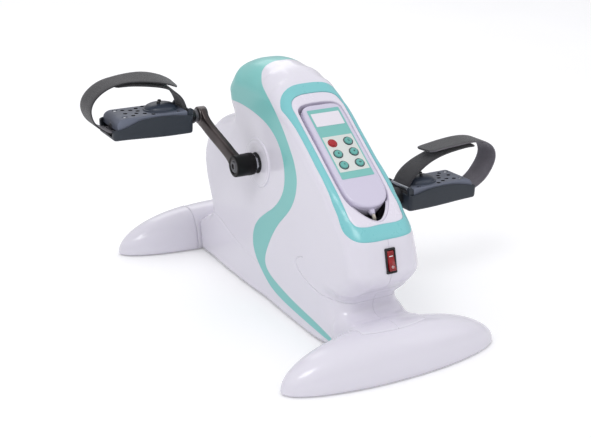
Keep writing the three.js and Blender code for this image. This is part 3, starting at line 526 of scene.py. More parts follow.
def foot_field(x, y, z, c):
    """Approximate signed distance to a foot: superelliptic section that shrinks towards the tips."""
    e = c["e"]
    Y = np.abs(y - c["yc"]) / c["b"] + 1e-6; Z = np.maximum(z - FOOT_Z0, 0) / c["h"] + 1e-6
    r = (Y ** e + Z ** e) ** (1 / e)
    q = np.sqrt((x / c["a"]) ** 2 + r * r)
    gy = r / q * (Y / r) ** (e - 1) / c["b"]; gz = r / q * (Z / r) ** (e - 1) / c["h"]; gx = x / c["a"] ** 2 / q
    return (q - 1) / np.maximum(np.sqrt(gx * gx + gy * gy + gz * gz), 1e-6)

HOOK = catmull([(-105.2, 104.3), (-97.5, 101.6), (-91.2, 97.8), (-88.8, 92), (-91.5, 86.5), (-98, 81.8), (-108.7, 77.4), (-129.5, 73),
                (-152.2, 71), (-179.2, 71.1), (-204, 72.8)], 2.0)
CREASE = catmull([(178, 71), (160, 76.5), (137, 74.7), (110.9, 66.5), (78.8, 58.7), (47.6, 52.6), (20, 49.5)], 2.0)

T_HOOK = Table(lambda Q: sd_poly(Q, HOOK[::2], False), -262, 240, -14, 116, 2.5)
T_CREASE = Table(lambda Q: sd_poly(Q, CREASE[::2], False), -262, 240, -14, 116, 2.5)

def body_raw(x, y, z):
    p = T_PROF(y, z); R = T_RAD(y, z)
    W = HALF_W + 0.9 * sstep(z, 70, 46) * sstep(y, -40, 60)
    W = W - 10.0 * np.where(z < 73, sstep(z, 36, 73), sstep(z, 89, 73)) * sstep(y, -150, -196)      # waisted neck under the nose
    u = p + R; v = np.abs(x) - W + R
    f = np.sqrt(np.maximum(u, 0) ** 2 + np.maximum(v, 0) ** 2) + np.minimum(np.maximum(u, v), 0) - R
    # tongue lying over the front foot, with a level step behind the foot's ridge
    g = foot_field(x, y, z, FRONT) - 1.7
    t = smax(smax(g, np.abs(x) - 47.0, 2.5), -(y + 257.5 - 0.004 * x * x), 2.0)
    zt = 54.4 + 0.075 * np.clip(-212 - y, 0, 40)
    b = smax(smax(z - zt, np.abs(x) - 46.2, 11.0), -(y + 248), 6.0)
    b = smax(b, y + 192.0, 6.0)
    t = np.maximum(smin(t, b, 4.0), -(z - 3.2))
    near = y < -150
    return np.maximum(np.where(near, smin(f, t, 13.0), f), 3.2 - z)

def body(x, y, z, grooves=True):
    f = body_raw(x, y, z)
    if grooves:
        Q = np.stack([y, z], 1)
        lo = (np.abs(f) < 4) & (z < 112)
        add = np.zeros_like(f)
        for line, tab, dep, wid in ((HOOK, T_HOOK, 0.95, 0.62), (CREASE, T_CREASE, 0.45, 1.5)):
            m = np.zeros(len(f), bool); m[lo] = tab(y[lo], z[lo]) < 5
            if m.any():
                d = sd_poly(Q[m], line, False)
                add[m] += dep * np.exp(-(d / wid) ** 2)
        f = f + add
    return f

def refine(V, T, fn, need, rounds=2, min_len=0.8):
    """Splits edges where need(mid) is true, keeping the mesh conforming, and re-seats new points on fn = 0."""
    for r in range(rounds):
        E = np.sort(np.concatenate([T[:, [0, 1]], T[:, [1, 2]], T[:, [2, 0]]]), axis=1)
        U, inv = np.unique(E, axis=0, return_inverse=True); inv = inv.ravel()
        mid = (V[U[:, 0]] + V[U[:, 1]]) / 2
        ln = np.linalg.norm(V[U[:, 0]] - V[U[:, 1]], axis=1)
        m = (ln > min_len) & need(mid, r)
        nid = -np.ones(len(U), int); nid[m] = len(V) + np.arange(m.sum())
        newp = mid[m]
        newp, _ = seat(newp, fn)
        V = np.concatenate([V, newp])
        nt = len(T); e01, e12, e20 = nid[inv[:nt]], nid[inv[nt:2 * nt]], nid[inv[2 * nt:]]
        out = []
        c = (e01 >= 0).astype(int) + (e12 >= 0) + (e20 >= 0)
        out.append(T[c == 0])
        M = c == 3; t = T[M]; a, b, d = e01[M], e12[M], e20[M]
        out += [np.stack([t[:, 0], a, d], 1), np.stack([a, t[:, 1], b], 1), np.stack([d, b, t[:, 2]], 1), np.stack([a, b, d], 1)]
        for k in range(3):
            e = [e01, e12, e20]; p, q, s = e[k], e[(k + 1) % 3], e[(k + 2) % 3]
            i0, i1, i2 = T[:, k], T[:, (k + 1) % 3], T[:, (k + 2) % 3]
            M = (c == 1) & (p >= 0)
            out += [np.stack([i0[M], p[M], i2[M]], 1), np.stack([p[M], i1[M], i2[M]], 1)]
            M = (c == 2) & (s < 0)     # edges k and k+1 split
            out += [np.stack([p[M], i1[M], q[M]], 1), np.stack([i0[M], p[M], q[M]], 1), np.stack([i0[M], q[M], i2[M]], 1)]
        T = np.concatenate(out)
    return V, T

def seat(V, fn, it=3, eps=0.12):
    G = None
    for _ in range(it):
        f = fn(*V.T)
        G = np.stack([(fn(*(V + d).T) - fn(*(V - d).T)) / (2 * eps) for d in np.eye(3) * eps], 1)
        g2 = (G ** 2).sum(1); g2[g2 < 1e-3] = 1
        s = f[:, None] * G / g2[:, None]; l = np.linalg.norm(s, axis=1)
        V = V - s * np.minimum(1, 1.2 / np.maximum(l, 1e-9))[:, None]
    N = G / np.maximum(np.linalg.norm(G, axis=1), 1e-9)[:, None]
    return V, N

# ---- body shells
V, Q, _ = surface_net(body_raw, (-54, -262, -1), (54, 218, 333), 3.0)
T = tris(Q)

# teal band outline, side view unrolled over the head's crown: s = z + (HALF_W - |x|) near the top
STRIPE_L = catmull([(118, 261.5), (105, 263.5), (88, 265.4), (69.9, 266.2), (40.3, 265.0), (11.5, 261.2), (-11, 255.4), (-30.4, 245.6),
                    (-45.0, 231.6), (-53.4, 215.2), (-56.4, 197.3), (-53.4, 179.6), (-42.9, 162.2), (-26.1, 145.8), (-3.6, 130),
                    (15.6, 115), (26.2, 102), (31.8, 86), (30.4, 70.5), (22.4, 58.2), (10.4, 47.5), (-2.8, 38.3), (-17.5, 30.2),
                    (-35, 24.9), (-56.1, 21.6), (-80.9, 19.4), (-105.2, 17.9), (-131.5, 16.6), (-156.9, 15.6), (-178, 15), (-201, 14.4)], 2.5)
STRIPE_R = catmull([(-201, 18.4), (-186.4, 21.0), (-159.1, 24.9), (-133.6, 27.8), (-107.5, 30.2), (-80.6, 33.2), (-55.8, 37), (-33.2, 41.8),
                    (-18.5, 46.4), (-8.2, 53.2), (-4.2, 62.2), (-7.2, 75.4), (-15.8, 92.6), (-26.8, 109.7), (-40.6, 127), (-56.8, 143),
                    (-71.9, 158.8), (-82.2, 175), (-87.4, 190.8), (-88.1, 206.9), (-81.4, 224.6), (-70.4, 239.8), (-57.2, 255),
                    (-43.4, 268.6), (-29.8, 279.6), (-16.1, 289.6), (-3, 297.5), (8.5, 304.8), (18.6, 312.6), (28.4, 322.4), (35.2, 332),
                    (39.6, 345), (41, 362), (41.2, 385)], 2.5)
BAND = np.concatenate([STRIPE_L, STRIPE_R, np.array([(41.2, 430), (190, 430), (190, 261.5)])])
def unroll(P):
    w = sstep(P[:, 2], 250, 290)
    return np.stack([P[:, 1], P[:, 2] + (HALF_W - np.abs(P[:, 0])) * w], 1)
T_BAND = Table(lambda Q: sd_poly(Q, BAND), -262, 240, -16, 420, 2.0)
FRAME_OUT = [(0, 201.5), (30, 200), (40, 194), (46, 180), (46.2, 150), (44.3, 85), (44.3, 25), (46, -6), (46, -23), (39.5, -37.5), (22, -46.5), (0, -48.5)]
def mirror_outline(h, step=2.0):
    """Closed smooth outline from its +x half, listed from (0, bottom) to (0, top)."""
    full = list(h) + [(-x, y) for x, y in h[::-1] if x > 1e-6]
    return catmull(full, step, closed=True)
FO = mirror_outline(FRAME_OUT, 3.0)
def on_console(P):
    d = P - P0
    return np.stack([d[:, 0], d @ ES], 1), d @ EN

def needs(mid, r):
    reach = 2.6 if r == 0 else 1.5
    out = np.zeros(len(mid), bool)
    U = unroll(mid)
    out |= np.abs(T_BAND(U[:, 0], U[:, 1])) < reach + 0.6
    lo = mid[:, 2] < 112
    k = np.zeros(len(mid), bool)
    a, b = mid[lo][:, 1], mid[lo][:, 2]
    k[lo] = (T_HOOK(a, b) < reach) | ((T_CREASE(a, b) < reach + 1) & (r == 0))
    out |= k
    c2, n = on_console(mid)
    f = (n > -25) & (n < 12) & (mid[:, 2] > 150)
    kk = np.zeros(len(mid), bool); kk[f] = np.abs(sd_poly(c2[f], FO[::2])) < reach
    out |= kk
    out |= np.abs(mid[:, 0]) < (1.8 if r == 0 else 0)
    g = foot_field(mid[:, 0], mid[:, 1], mid[:, 2], FRONT)
    out |= (np.abs(g) < reach) & (mid[:, 1] < -190)
    return out

V, T = refine(V, T, body_raw, needs, rounds=2, min_len=1.0)
V, T = refine(V, T, body, lambda m, r: (m[:, 2] < 112) & (T_HOOK(m[:, 1], np.minimum(m[:, 2], 114)) < 1.3), rounds=1, min_len=0.5)
V, N = seat(V, body)

def cut_all(V, T, N, *fields):
    for fn in fields:
        V, T, N = clip(V, T, N, fn(V))
    return V, T, N
GAPC = lambda P: (0.22 + 0.2 * sstep(P[:, 1], -188, -204)) * (1 - sstep(P[:, 2], 225, 255))
left = lambda P: -P[:, 0] - GAPC(P)
right = lambda P: P[:, 0] - GAPC(P)
clear_foot = lambda P: foot_field(P[:, 0], P[:, 1], P[:, 2], FRONT) + 1.2
console_hole = lambda P: np.where((on_console(P)[1] > -25), sd_poly(on_console(P)[0], FO) + 2.2, 9.0)
SW_C = np.array([0, -233.3, 138.1]); SW_A = math.radians(75.5)
SW_S = np.array([0, -math.cos(SW_A), -math.sin(SW_A)]); SW_N = np.array([0, -math.sin(SW_A), math.cos(SW_A)])
def switch_hole(P):
    d = P - SW_C; u, v, n = np.abs(d[:, 0]) - 6.4, np.abs(d @ SW_S) - 14.6, d @ SW_N
    return np.where(n > -12, np.maximum(u, v), 9.0)
band_d = lambda P: T_BAND(*unroll(P).T)
base = cut_all(V, T, N, clear_foot, console_hole, switch_hole)
tv, tt, tn = cut_all(*base, lambda P: -band_d(P) - 0.22)
white = cut_all(*base, lambda P: band_d(P) - 0.22)
wl = cut_all(*white, left); wr = cut_all(*white, right)
shell_piece("body_shell_left", wl[0], wl[1], wl[2], WHITE, "root", 2.6, ("housing_left",))
shell_piece("body_shell_right", wr[0], wr[1], wr[2], WHITE, "root", 2.6, ("housing_right",))
shell_piece("teal_band_and_cap", tv, tt, tn, TEAL, "root", 2.4, ("housing_left", "housing_right"))

# --------------------------------------------------------------------------
# feet: lens-shaped covers with a soft shoulder
def foot_part(name, c, x0, x1, replaces, shrink0=1.0, gap0=False, gap1=False, seg=44):
    a, b, h, yc, e = c["a"], c["b"], c["h"], c["yc"], c["e"]
    th0, th1 = math.asin(max(-1, x0 / a)), math.asin(min(1, x1 / a))
    n = max(12, int(abs(th1 - th0) / math.pi * 110))
    xs = [a * math.sin(th0 + (th1 - th0) * i / n) for i in range(n + 1)]
    xs[0], xs[-1] = x0, x1
    rings = []
    def ring(x, scale, z_drop=0.0):
        t = min(1.0, abs(x) / a); k = max(0.0, 1 - t ** c["px"]) ** 0.5 * scale
        pts = []
        ry, rz = b * k, h * k
        lip = min(1.4, ry * 0.4, rz * 0.4)
        for j in range(seg + 1):
            t = math.pi * j / seg
            cc, ss = math.cos(t), math.sin(t)
            y = ry * math.copysign(abs(cc) ** (2 / e), cc); z = rz * abs(ss) ** (2 / e)
            z = max(z, lip)
            pts.append((x, yc + y, FOOT_Z0 + z))
        pts = [(x, yc + ry - lip, FOOT_Z0)] + pts + [(x, yc - ry + lip, FOOT_Z0)]
        return pts
    for i, x in enumerate(xs):
        if i == 0 and gap0:
            rings += [ring(x, shrink0 * 0.975), ring(x + 0.35, shrink0 * 0.992), ring(x + 0.9, shrink0)]
        elif i == len(xs) - 1 and gap1:
            rings += [ring(x - 0.9, shrink0), ring(x - 0.35, shrink0 * 0.992), ring(x, shrink0 * 0.975)]
        else:
            rings.append(ring(x, shrink0))
    V, F = loft(rings)
    V, F = weld(V, F, 1e-3)
    o = mk(name, V, F, WHITE, "root", replaces, sharp=50)
    return orient(o)

foot_part("foot_front", FRONT, -FRONT["a"], FRONT["a"], ("front_foot",))
foot_part("foot_rear_left", REAR, -REAR["a"], -54.15, ("rear_foot_left",), gap1=True)
foot_part("foot_rear_centre", REAR, -53.85, 53.85, ("rear_foot_centre",), shrink0=0.985, gap0=True, gap1=True)
foot_part("foot_rear_right", REAR, 54.15, REAR["a"], ("rear_foot_right",), gap0=True)
for nm, c, sx in (("front_left", FRONT, -1), ("front_right", FRONT, 1), ("rear_left", REAR, -1), ("rear_right", REAR, 1)):
    prof = [(0.0, 0.0), (0.0, 9.6), (0.25, 10.6), (0.9, 11.4), (2.0, 11.9), (5.5, 12.4), (7.7, 12.4), (7.7, 0.0)]
    # three shallow grip rings under the pad
    prof = [(0.5, 0.0), (0.5, 2.4), (0.0, 2.9), (0.0, 4.6), (0.5, 5.1), (0.5, 6.2), (0.0, 6.7), (0.0, 8.2), (0.3, 10.6), (0.9, 11.4), (2.0, 11.9), (5.5, 12.4), (7.7, 12.4), (7.7, 0.0)]
    V_, F_ = lathe(prof, 40, "z", (sx * 107, c["yc"], 0))
    orient(mk("pad_" + nm, V_, F_, RUBBER, "root", ("foot_pad_" + nm,), sharp=30))

# --------------------------------------------------------------------------
# console plane
def cpt(x, s, n):
    x, s, n = np.broadcast_arrays(np.asarray(x, float), np.asarray(s, float), np.asarray(n, float))
    return P0 + x[..., None] * EX + s[..., None] * ES + n[..., None] * EN
def surf_n(x, s):
    """Height of the body's skin above the console plane at (x, s)."""
    x = np.asarray(x, float); s = np.asarray(s, float)
    hi_ = np.full(x.shape, 6.0); lo_ = np.full(x.shape, -45.0)
    for _ in range(22):
        m = (hi_ + lo_) / 2
        P = cpt(x, s, m); f = body_raw(P[:, 0], P[:, 1], P[:, 2])
        hi_ = np.where(f > 0, m, hi_); lo_ = np.where(f > 0, lo_, m)
    return (hi_ + lo_) / 2
def resample(P, n):
    Q = np.vstack([P, P[:1]]); d = np.r_[0, np.cumsum(np.linalg.norm(np.diff(Q, axis=0), axis=1))]
    t = np.linspace(0, d[-1], n, endpoint=False)
    return np.stack([np.interp(t, d, Q[:, 0]), np.interp(t, d, Q[:, 1])], 1)
def sym_outline(pts, n=240, step=1.0):
    """Closed outline through pts listed round it, starting on the centre line, resampled evenly."""
    return resample(catmull(pts, step, closed=True), n)
def offset2(P, d):
    """Moves a counter-clockwise or clockwise outline inwards by d."""
    t = np.roll(P, -1, 0) - np.roll(P, 1, 0); t /= np.linalg.norm(t, axis=1)[:, None]
    n = np.stack([-t[:, 1], t[:, 0]], 1)
    area = 0.5 * (P[:, 0] * np.roll(P[:, 1], -1) - np.roll(P[:, 0], -1) * P[:, 1]).sum()
    return P + n * (d if area > 0 else -d)
def half(h): return list(h) + [(-x, y) for x, y in h[::-1] if x > 1e-6]

FRAME_IN = [(0, 181.5), (24, 181.5), (33, 178), (37, 169), (37, 130), (37, 60), (37.5, 5), (37, -12), (32.5, -23), (20, -29.5), (0, -31.0)]
POCKET = [(0, 177.5), (7, 175.4), (14, 169.5), (21, 160.5), (27, 149.5), (31, 138), (32.2, 122), (32.2, 60), (32.5, 5), (31.2, -6), (25, -12), (13, -14.6), (0, -15.2)]
NR = 260
fo = sym_outline(half(FRAME_OUT), NR); fi = sym_outline(half(FRAME_IN), NR); pk = sym_outline(half(POCKET), NR)
sides = surf_n
def ring3(P, n): return cpt(P[:, 0], P[:, 1], n)

rings = []
n_fo = surf_n(fo[:, 0], fo[:, 1])
for t, up in ((0.0, -2.6), (0.0, -0.2), (0.0, 0.35), (0.008, 0.62), (0.03, 0.78), (0.08, 0.84), (0.2, 0.86), (0.35, 0.86), (0.5, 0.86),
              (0.65, 0.86), (0.8, 0.86), (0.92, 0.84), (0.97, 0.78), (0.992, 0.6), (1.0, 0.3), (1.0, -0.4), (1.0, -3.0)):
    P = fo * (1 - t) + fi * t
    n = surf_n(P[:, 0], P[:, 1]) if 0 < t < 1 else (n_fo if t == 0 else surf_n(fi[:, 0], fi[:, 1]))
    rings.append(ring3(P, n + up))
Vf, Ff = loft(rings, False, False)
k = len(rings) - 1
Ff += [(k * NR + j, k * NR + (j + 1) % NR, (j + 1) % NR, j) for j in range(NR)]
orient(mk("console_trim", Vf, Ff, TEAL_L, "root", ("console_frame",), sharp=40))

fi2 = offset2(fi, 0.35)
rings = []
n_in = surf_n(fi2[:, 0], fi2[:, 1]); n_pk = surf_n(pk[:, 0], pk[:, 1])
mid_t = (0.0, 0.0, 0.04, 0.15, 0.4, 0.7, 0.9)
for t, up in zip(mid_t, (-2.6, -0.1, 0.12, 0.16, 0.14, 0.1, 0.0)):
    P = fi2 * (1 - t) + offset2(pk, -1.2) * t
    n = surf_n(P[:, 0], P[:, 1])
    # the flange settles to the flat plane by the pocket
    n = n * (1 - 0.6 * t) + (-4.9) * 0.6 * t
    rings.append(ring3(P, n + up))
flat = n_pk * 0.4 + (-4.9) * 0.6
for d, up in ((-1.2, -0.1), (-0.7, -0.22), (-0.3, -0.55), (0.0, -1.1), (0.25, -2.4), (0.7, -8), (1.2, -15)):
    rings.append(ring3(offset2(pk, d), flat + up))
end_w = sstep(pk[:, 1], 139, 150)          # the wall is cut short round the cord opening
for i_, low in ((-1, -6.9), (-2, -6.5)):
    d, up = ((1.2, -15), (0.7, -8))[-1 - i_]
    rings[i_] = ring3(offset2(pk, d), (flat + up) * (1 - end_w) + low * end_w)
for d, n, low in ((1.7, -24.0, -7.2), (1.9, -26.6, -7.5), (2.4, -27.8, -7.8), (3.6, -28.6, -8.0)):
    rings.append(ring3(offset2(pk, d), n * (1 - end_w) + low * end_w))
Vt, Ft = loft(rings, False, False)
last = (len(rings) - 1) * NR
s_of = offset2(pk, 3.6)[:, 1]
floor = [last + j for j in range(NR) if s_of[j] < 138.0]
# floor stops short of the lower end, where the cord drops into the body
idx = [j for j in range(NR) if s_of[j] < 138.0]
cut_i = next(i for i in range(len(idx)) if idx[i] + 1 != idx[(i + 1) % len(idx)] and (idx[i] + 1) % NR != idx[(i + 1) % len(idx)])
order = idx[cut_i + 1:] + idx[:cut_i + 1]
Ft.append(tuple(last + j for j in order))
tray = mk("console_tray_shell", Vt, Ft, WHITE_TRAY, "root", ("console_tray",), sharp=50)
orient(tray)
sol = tray.modifiers.new("wall", "SOLIDIFY"); sol.thickness = 1.6 * MM; sol.offset = -1.0

def plate(P, levels, to3, cap_bottom=True):
    """Closed plate from an outline and (inset, height) levels."""
    rings = [to3(offset2(P, d) if d else P, n) for d, n in levels]
    return loft(rings, cap_bottom, True)
def c3(P, n): return ring3(P, np.full(len(P), float(n)))

HSO = sym_outline(half([(0, 156.4), (8, 155.6), (17.5, 151.8), (24.6, 145), (28.6, 135), (30.0, 122), (30.0, 90), (29.8, 40), (29.2, 6), (26.5, -4), (19, -8.2), (0, -9.0)]), 200)
V_, F_ = plate(HSO, [(6, -24.5), (3.2, -24.2), (1.4, -23.2), (0.45, -21.6), (0.1, -19.5), (0.0, -15), (0.0, -8.6), (0.35, -8.2)], c3)
orient(mk("handset_back_shell", V_, F_, LAV, "handset", ("handset_back",), sharp=40))
V_, F_ = plate(HSO, [(0.35, -7.95), (0.0, -7.6), (0.0, -5.0), (0.12, -3.9), (0.5, -2.8), (1.1, -2.0), (2.0, -1.45), (3.2, -1.22), (4.6, -1.2)], c3)
orient(mk("handset_front_shell", V_, F_, LAV, "handset", ("handset_front",), sharp=40))

def rrect(hw, s0, s1, r, seg=6, cx=0.0):
    pts = []
    for (x, s, a0) in ((cx + hw - r, s1 - r, 0), (cx - hw + r, s1 - r, 90), (cx - hw + r, s0 + r, 180), (cx + hw - r, s0 + r, 270)):
        for i in range(seg + 1):
            a = math.radians(a0 + 90 * i / seg); pts.append((x + r * math.cos(a), s + r * math.sin(a)))
    return np.array(pts)
def disc(r, c=(0, 0), n=40):
    a = np.linspace(0, 2 * np.pi, n, endpoint=False); return np.stack([c[0] + r * np.cos(a), c[1] + r * np.sin(a)], 1)

V_, F_ = plate(rrect(23.6, 0, 111.3, 1.6), [(0, -1.6), (0, -0.95), (0.12, -0.84)], c3)
orient(mk("label_sheet", V_, F_, LABEL, "handset", ("control_label",), sharp=30))
V_, F_ = plate(rrect(21.6, 44.8, 100.8, 0.8), [(0, -1.2), (0, -0.74), (0.08, -0.68)], c3)
orient(mk("label_key_field", V_, F_, KEYPAD, "handset", sharp=30))
V_, F_ = plate(rrect(20.8, 6.3, 27.6, 1.0), [(0, -1.2), (0, -0.62), (0.35, -0.4), (0.9, -0.32)], c3)
orient(mk("display_lens", V_, F_, LCD, "handset", ("display_window",), sharp=30))
KEYS = [("power", -11.5, 55.7, 6.1), ("mode", 11.5, 55.7, 6.4), ("speed_up", -11.5, 73.1, 6.4), ("speed_down", 11.5, 73.1, 6.4),
        ("time", -11.5, 90.9, 6.4), ("reverse", 11.5, 90.9, 6.4)]
def tube_ring(ro, ri, c, n0, n1, n=44):
    """Flat ring with rounded rims in the console plane."""
    prof = [(ro, n0), (ro, n1 - 0.18), (ro - 0.18, n1), (ri + 0.18, n1), (ri, n1 - 0.18), (ri, n0)]
    rs = [c3(disc(r, c, n), q) for r, q in prof]
    V, F = loft(rs, False, False); k = len(rs) - 1
    F += [(k * n + j, k * n + (j + 1) % n, (j + 1) % n, j) for j in range(n)]
    return V, F
def icon(kind, c):
    """Small raised mark on a key, in outline strokes."""
    x, s = c; g = []
    if kind == "speed_up": g = [[(x - 1.5, s + 1.0), (x + 1.5, s + 1.0), (x, s - 1.5)]]
    if kind == "speed_down": g = [[(x - 1.5, s - 1.0), (x, s + 1.5), (x + 1.5, s - 1.0)]]
    if kind == "mode": g = [[(x - 1.4, s - 1.4), (x + 1.4, s - 1.4), (x + 1.4, s - 0.7), (x - 1.4, s - 0.7)], [(x - 1.4, s + 0.7), (x + 1.4, s + 0.7), (x + 1.4, s + 1.4), (x - 1.4, s + 1.4)]]
    if kind == "reverse": g = [[(x - 0.3, s - 1.4), (x - 0.3, s + 1.4), (x - 2.0, s)], [(x + 0.3, s - 1.4), (x + 2.0, s), (x + 0.3, s + 1.4)]]
    if kind == "time": g = [[(x - 0.35, s - 1.9), (x + 0.35, s - 1.9), (x + 0.35, s + 0.35), (x - 0.35, s + 0.35)], [(x + 0.35, s - 0.35), (x + 1.6, s - 0.35), (x + 1.6, s + 0.35), (x + 0.35, s + 0.35)]]
    return g
for nm, x, s, r in KEYS:
    red = nm == "power"
    if True:
        V_, F_ = tube_ring(r + 0.25, r - 0.95, (x, s), -1.2, -0.12)
        orient(mk("key_ring_" + nm, V_, F_, BTN_R if red else INK, "handset", sharp=40))
    rc = r - 1.35
    P = disc(rc, (x, s), 44)
    V_, F_ = plate(P, [(0, -2.6), (0, 0.55), (0.16, 0.95), (0.5, 1.22), (1.1, 1.42), (2.0, 1.55), (3.0, 1.6)], c3)
    parts = [(V_, F_)]; fm = [0] * len(F_)
    for gpoly in icon(nm, (x, s)):
        G = np.array(gpoly, float)
        gv, gf = loft([c3(G, 1.3), c3(G, 1.68)])
        parts.append((gv, gf)); fm += [1] * len(gf)
    V_, F_ = join_parts(parts)
    orient(mk("key_cap_" + nm, V_, F_, None, "button_" + nm, ("button_" + nm,), sharp=40,
              mats=[BTN_R if red else BTN_T, INK], fmat=fm))

def sweep(path, r, seg=14, cap=True):
    """Round bar along a 3-D path."""
    P = np.asarray(path, float)
    t = np.gradient(P, axis=0); t /= np.linalg.norm(t, axis=1)[:, None]
    up = np.array([1.0, 0, 0]); rings = []
    R = np.broadcast_to(np.asarray(r, float), (len(P),))
    for p, d, rr in zip(P, t, R):
        u = up - d * (up @ d)
        if np.linalg.norm(u) < 1e-3: u = np.array([0, 0, 1.0]) - d * d[2]
        u /= np.linalg.norm(u); up = u; w = np.cross(d, u)
        a = np.linspace(0, 2 * np.pi, seg, endpoint=False)
        rings.append(p + rr * (np.cos(a)[:, None] * u + np.sin(a)[:, None] * w))
    return loft(rings)
cp = lambda s, n, x=0.0: (P0 + x * EX + ES * s + EN * n)
cord = catmull([cp(152, -11.6), cp(156, -11.6), cp(160.2, -12.0, 0.3), cp(164.0, -14.5, 1.4), cp(166.5, -20, 3.2), cp(167.3, -27, 4.6), cp(166.6, -36, 5.0),
                [3.5, -170, 138], [1, -158, 108], [0, -146, 75], [0, -141, 50], [0, -140, 37]], 1.6)
V_, F_ = sweep(cord, 2.4)
orient(mk("cord_lead", V_, F_, CORD, "root", ("handset_cord",), sharp=60))
V_, F_ = lathe([(-1.0, 0), (-1.0, 4.3), (0.4, 4.6), (1.6, 4.4), (4.4, 3.5), (5.4, 3.1), (5.6, 2.2), (5.6, 0)], 28, "z")
Rm = np.stack([EX, np.cross(ES, EX), ES], 1)
V_ = (V_ @ Rm.T) + cp(156.4, -11.6)
orient(mk("cord_relief", V_, F_, LAV, "handset", sharp=35))

# --------------------------------------------------------------------------
# power switch on the nose
def s3(P, n): return SW_C + P[:, :1] * EX + P[:, 1:] * SW_S + n * SW_N
def s3r(P, n):
    return s3(P, np.asarray(n, float)[:, None] if np.ndim(n) else float(n))
bo = rrect(7.4, -15.8, 15.8, 1.4); bi = rrect(5.15, -13.4, 13.4, 0.5)
seq = [(bo, -4.0), (bo, 1.3), (offset2(bo, 0.25), 1.75), (offset2(bo, 0.7), 2.0), (offset2(bi, -0.4), 2.0), (offset2(bi, -0.1), 1.8), (bi, 1.4), (bi, -8.0)]
rs = [s3(P, n) for P, n in seq]
V_, F_ = loft(rs, False, False); k = len(rs) - 1; m = len(bo)
F_ += [(k * m + j, k * m + (j + 1) % m, (j + 1) % m, j) for j in range(m)]
orient(mk("switch_surround", V_, F_, BLACKP, "root", ("switch_bezel",), sharp=35))
# rocker: V-shaped face, lower end pressed out at rest
prof = catmull([(-12.3, 4.4), (-11.6, 4.95), (-8, 4.35), (-4, 3.35), (0, 2.35), (4, 2.0), (8, 1.8), (11.6, 1.6), (12.2, 1.1)], 0.8)
body2 = [(-v, n) for v, n in prof]   # down-slope positive
P2 = np.array([(12.4, 1.5)] * 0 + [(v, n) for v, n in prof] + [(12.0, -3.6), (-12.0, -3.6)])
P2[:, 0] *= -1
def rk(x, P): return SW_C + x * EX + P[:, :1] * SW_S + P[:, 1:] * SW_N
def shrink(P, d):
    c = np.array([0, 0.0]); Q = P.copy(); Q[:, 1] -= d * (P[:, 1] > 0); Q[:, 0] -= np.sign(P[:, 0]) * d * (np.abs(P[:, 0]) > 11.0); return Q
rs = [rk(-4.55, shrink(P2, 0.45)), rk(-4.4, shrink(P2, 0.15)), rk(-4.1, P2), rk(4.1, P2), rk(4.4, shrink(P2, 0.15)), rk(4.55, shrink(P2, 0.45))]
V_, F_ = loft(rs)
orient(mk("rocker_cap", V_, F_, ROCKER, "power_rocker", ("switch_rocker",), sharp=30))
def on_rocker(v): return float(np.interp(-v, np.array([q[0] for q in prof]), np.array([q[1] for q in prof])))
bar = np.array([(-2.6, 0), (2.6, 0), (2.6, 1.0), (-2.6, 1.0)])
rs = [np.array([SW_C + x * EX + v * SW_S + (on_rocker(v) + d) * SW_N for x, v in ((-2.6, -6.2), (2.6, -6.2), (2.6, -5.1), (-2.6, -5.1))]) for d in (-0.2, 0.14)]
V1_, F1_ = loft(rs)
cc = [np.array([SW_C + (1.5 * math.cos(t)) * EX + (7.4 + 1.5 * math.sin(t)) * SW_S + (on_rocker(7.4 + 1.5 * math.sin(t)) + d) * SW_N for t in np.linspace(0, 2 * np.pi, 24, endpoint=False)]) for d in (-0.2, 0.12)]
ci = [np.array([SW_C + (0.95 * math.cos(t)) * EX + (7.4 + 0.95 * math.sin(t)) * SW_S + (on_rocker(7.4 + 0.95 * math.sin(t)) + d) * SW_N for t in np.linspace(0, 2 * np.pi, 24, endpoint=False)]) for d in (0.12, -0.2)]
V2_, F2_ = loft([cc[0], cc[1], ci[0], ci[1]], False, False)
F2_ += [(3 * 24 + j, 3 * 24 + (j + 1) % 24, (j + 1) % 24, j) for j in range(24)]
V_, F_ = join_parts([(V1_, F1_), (V2_, F2_)])
orient(mk("rocker_marks", V_, F_, WHITE_INK, "power_rocker", sharp=30))

# power socket on the right side
V_, F_ = lathe([(38, 0), (38, 6), (49.2, 6), (49.5, 7.6), (50.6, 7.6), (51.2, 7.1), (51.2, 4.2), (50.9, 3.6), (43, 3.4), (43, 1.15), (48.6, 1.1), (49, 0.7), (49.1, 0)], 40, "x", (0, 150, 40))
orient(mk("dc_socket", V_, F_, BLACKP, "root", ("power_socket",), sharp=30))

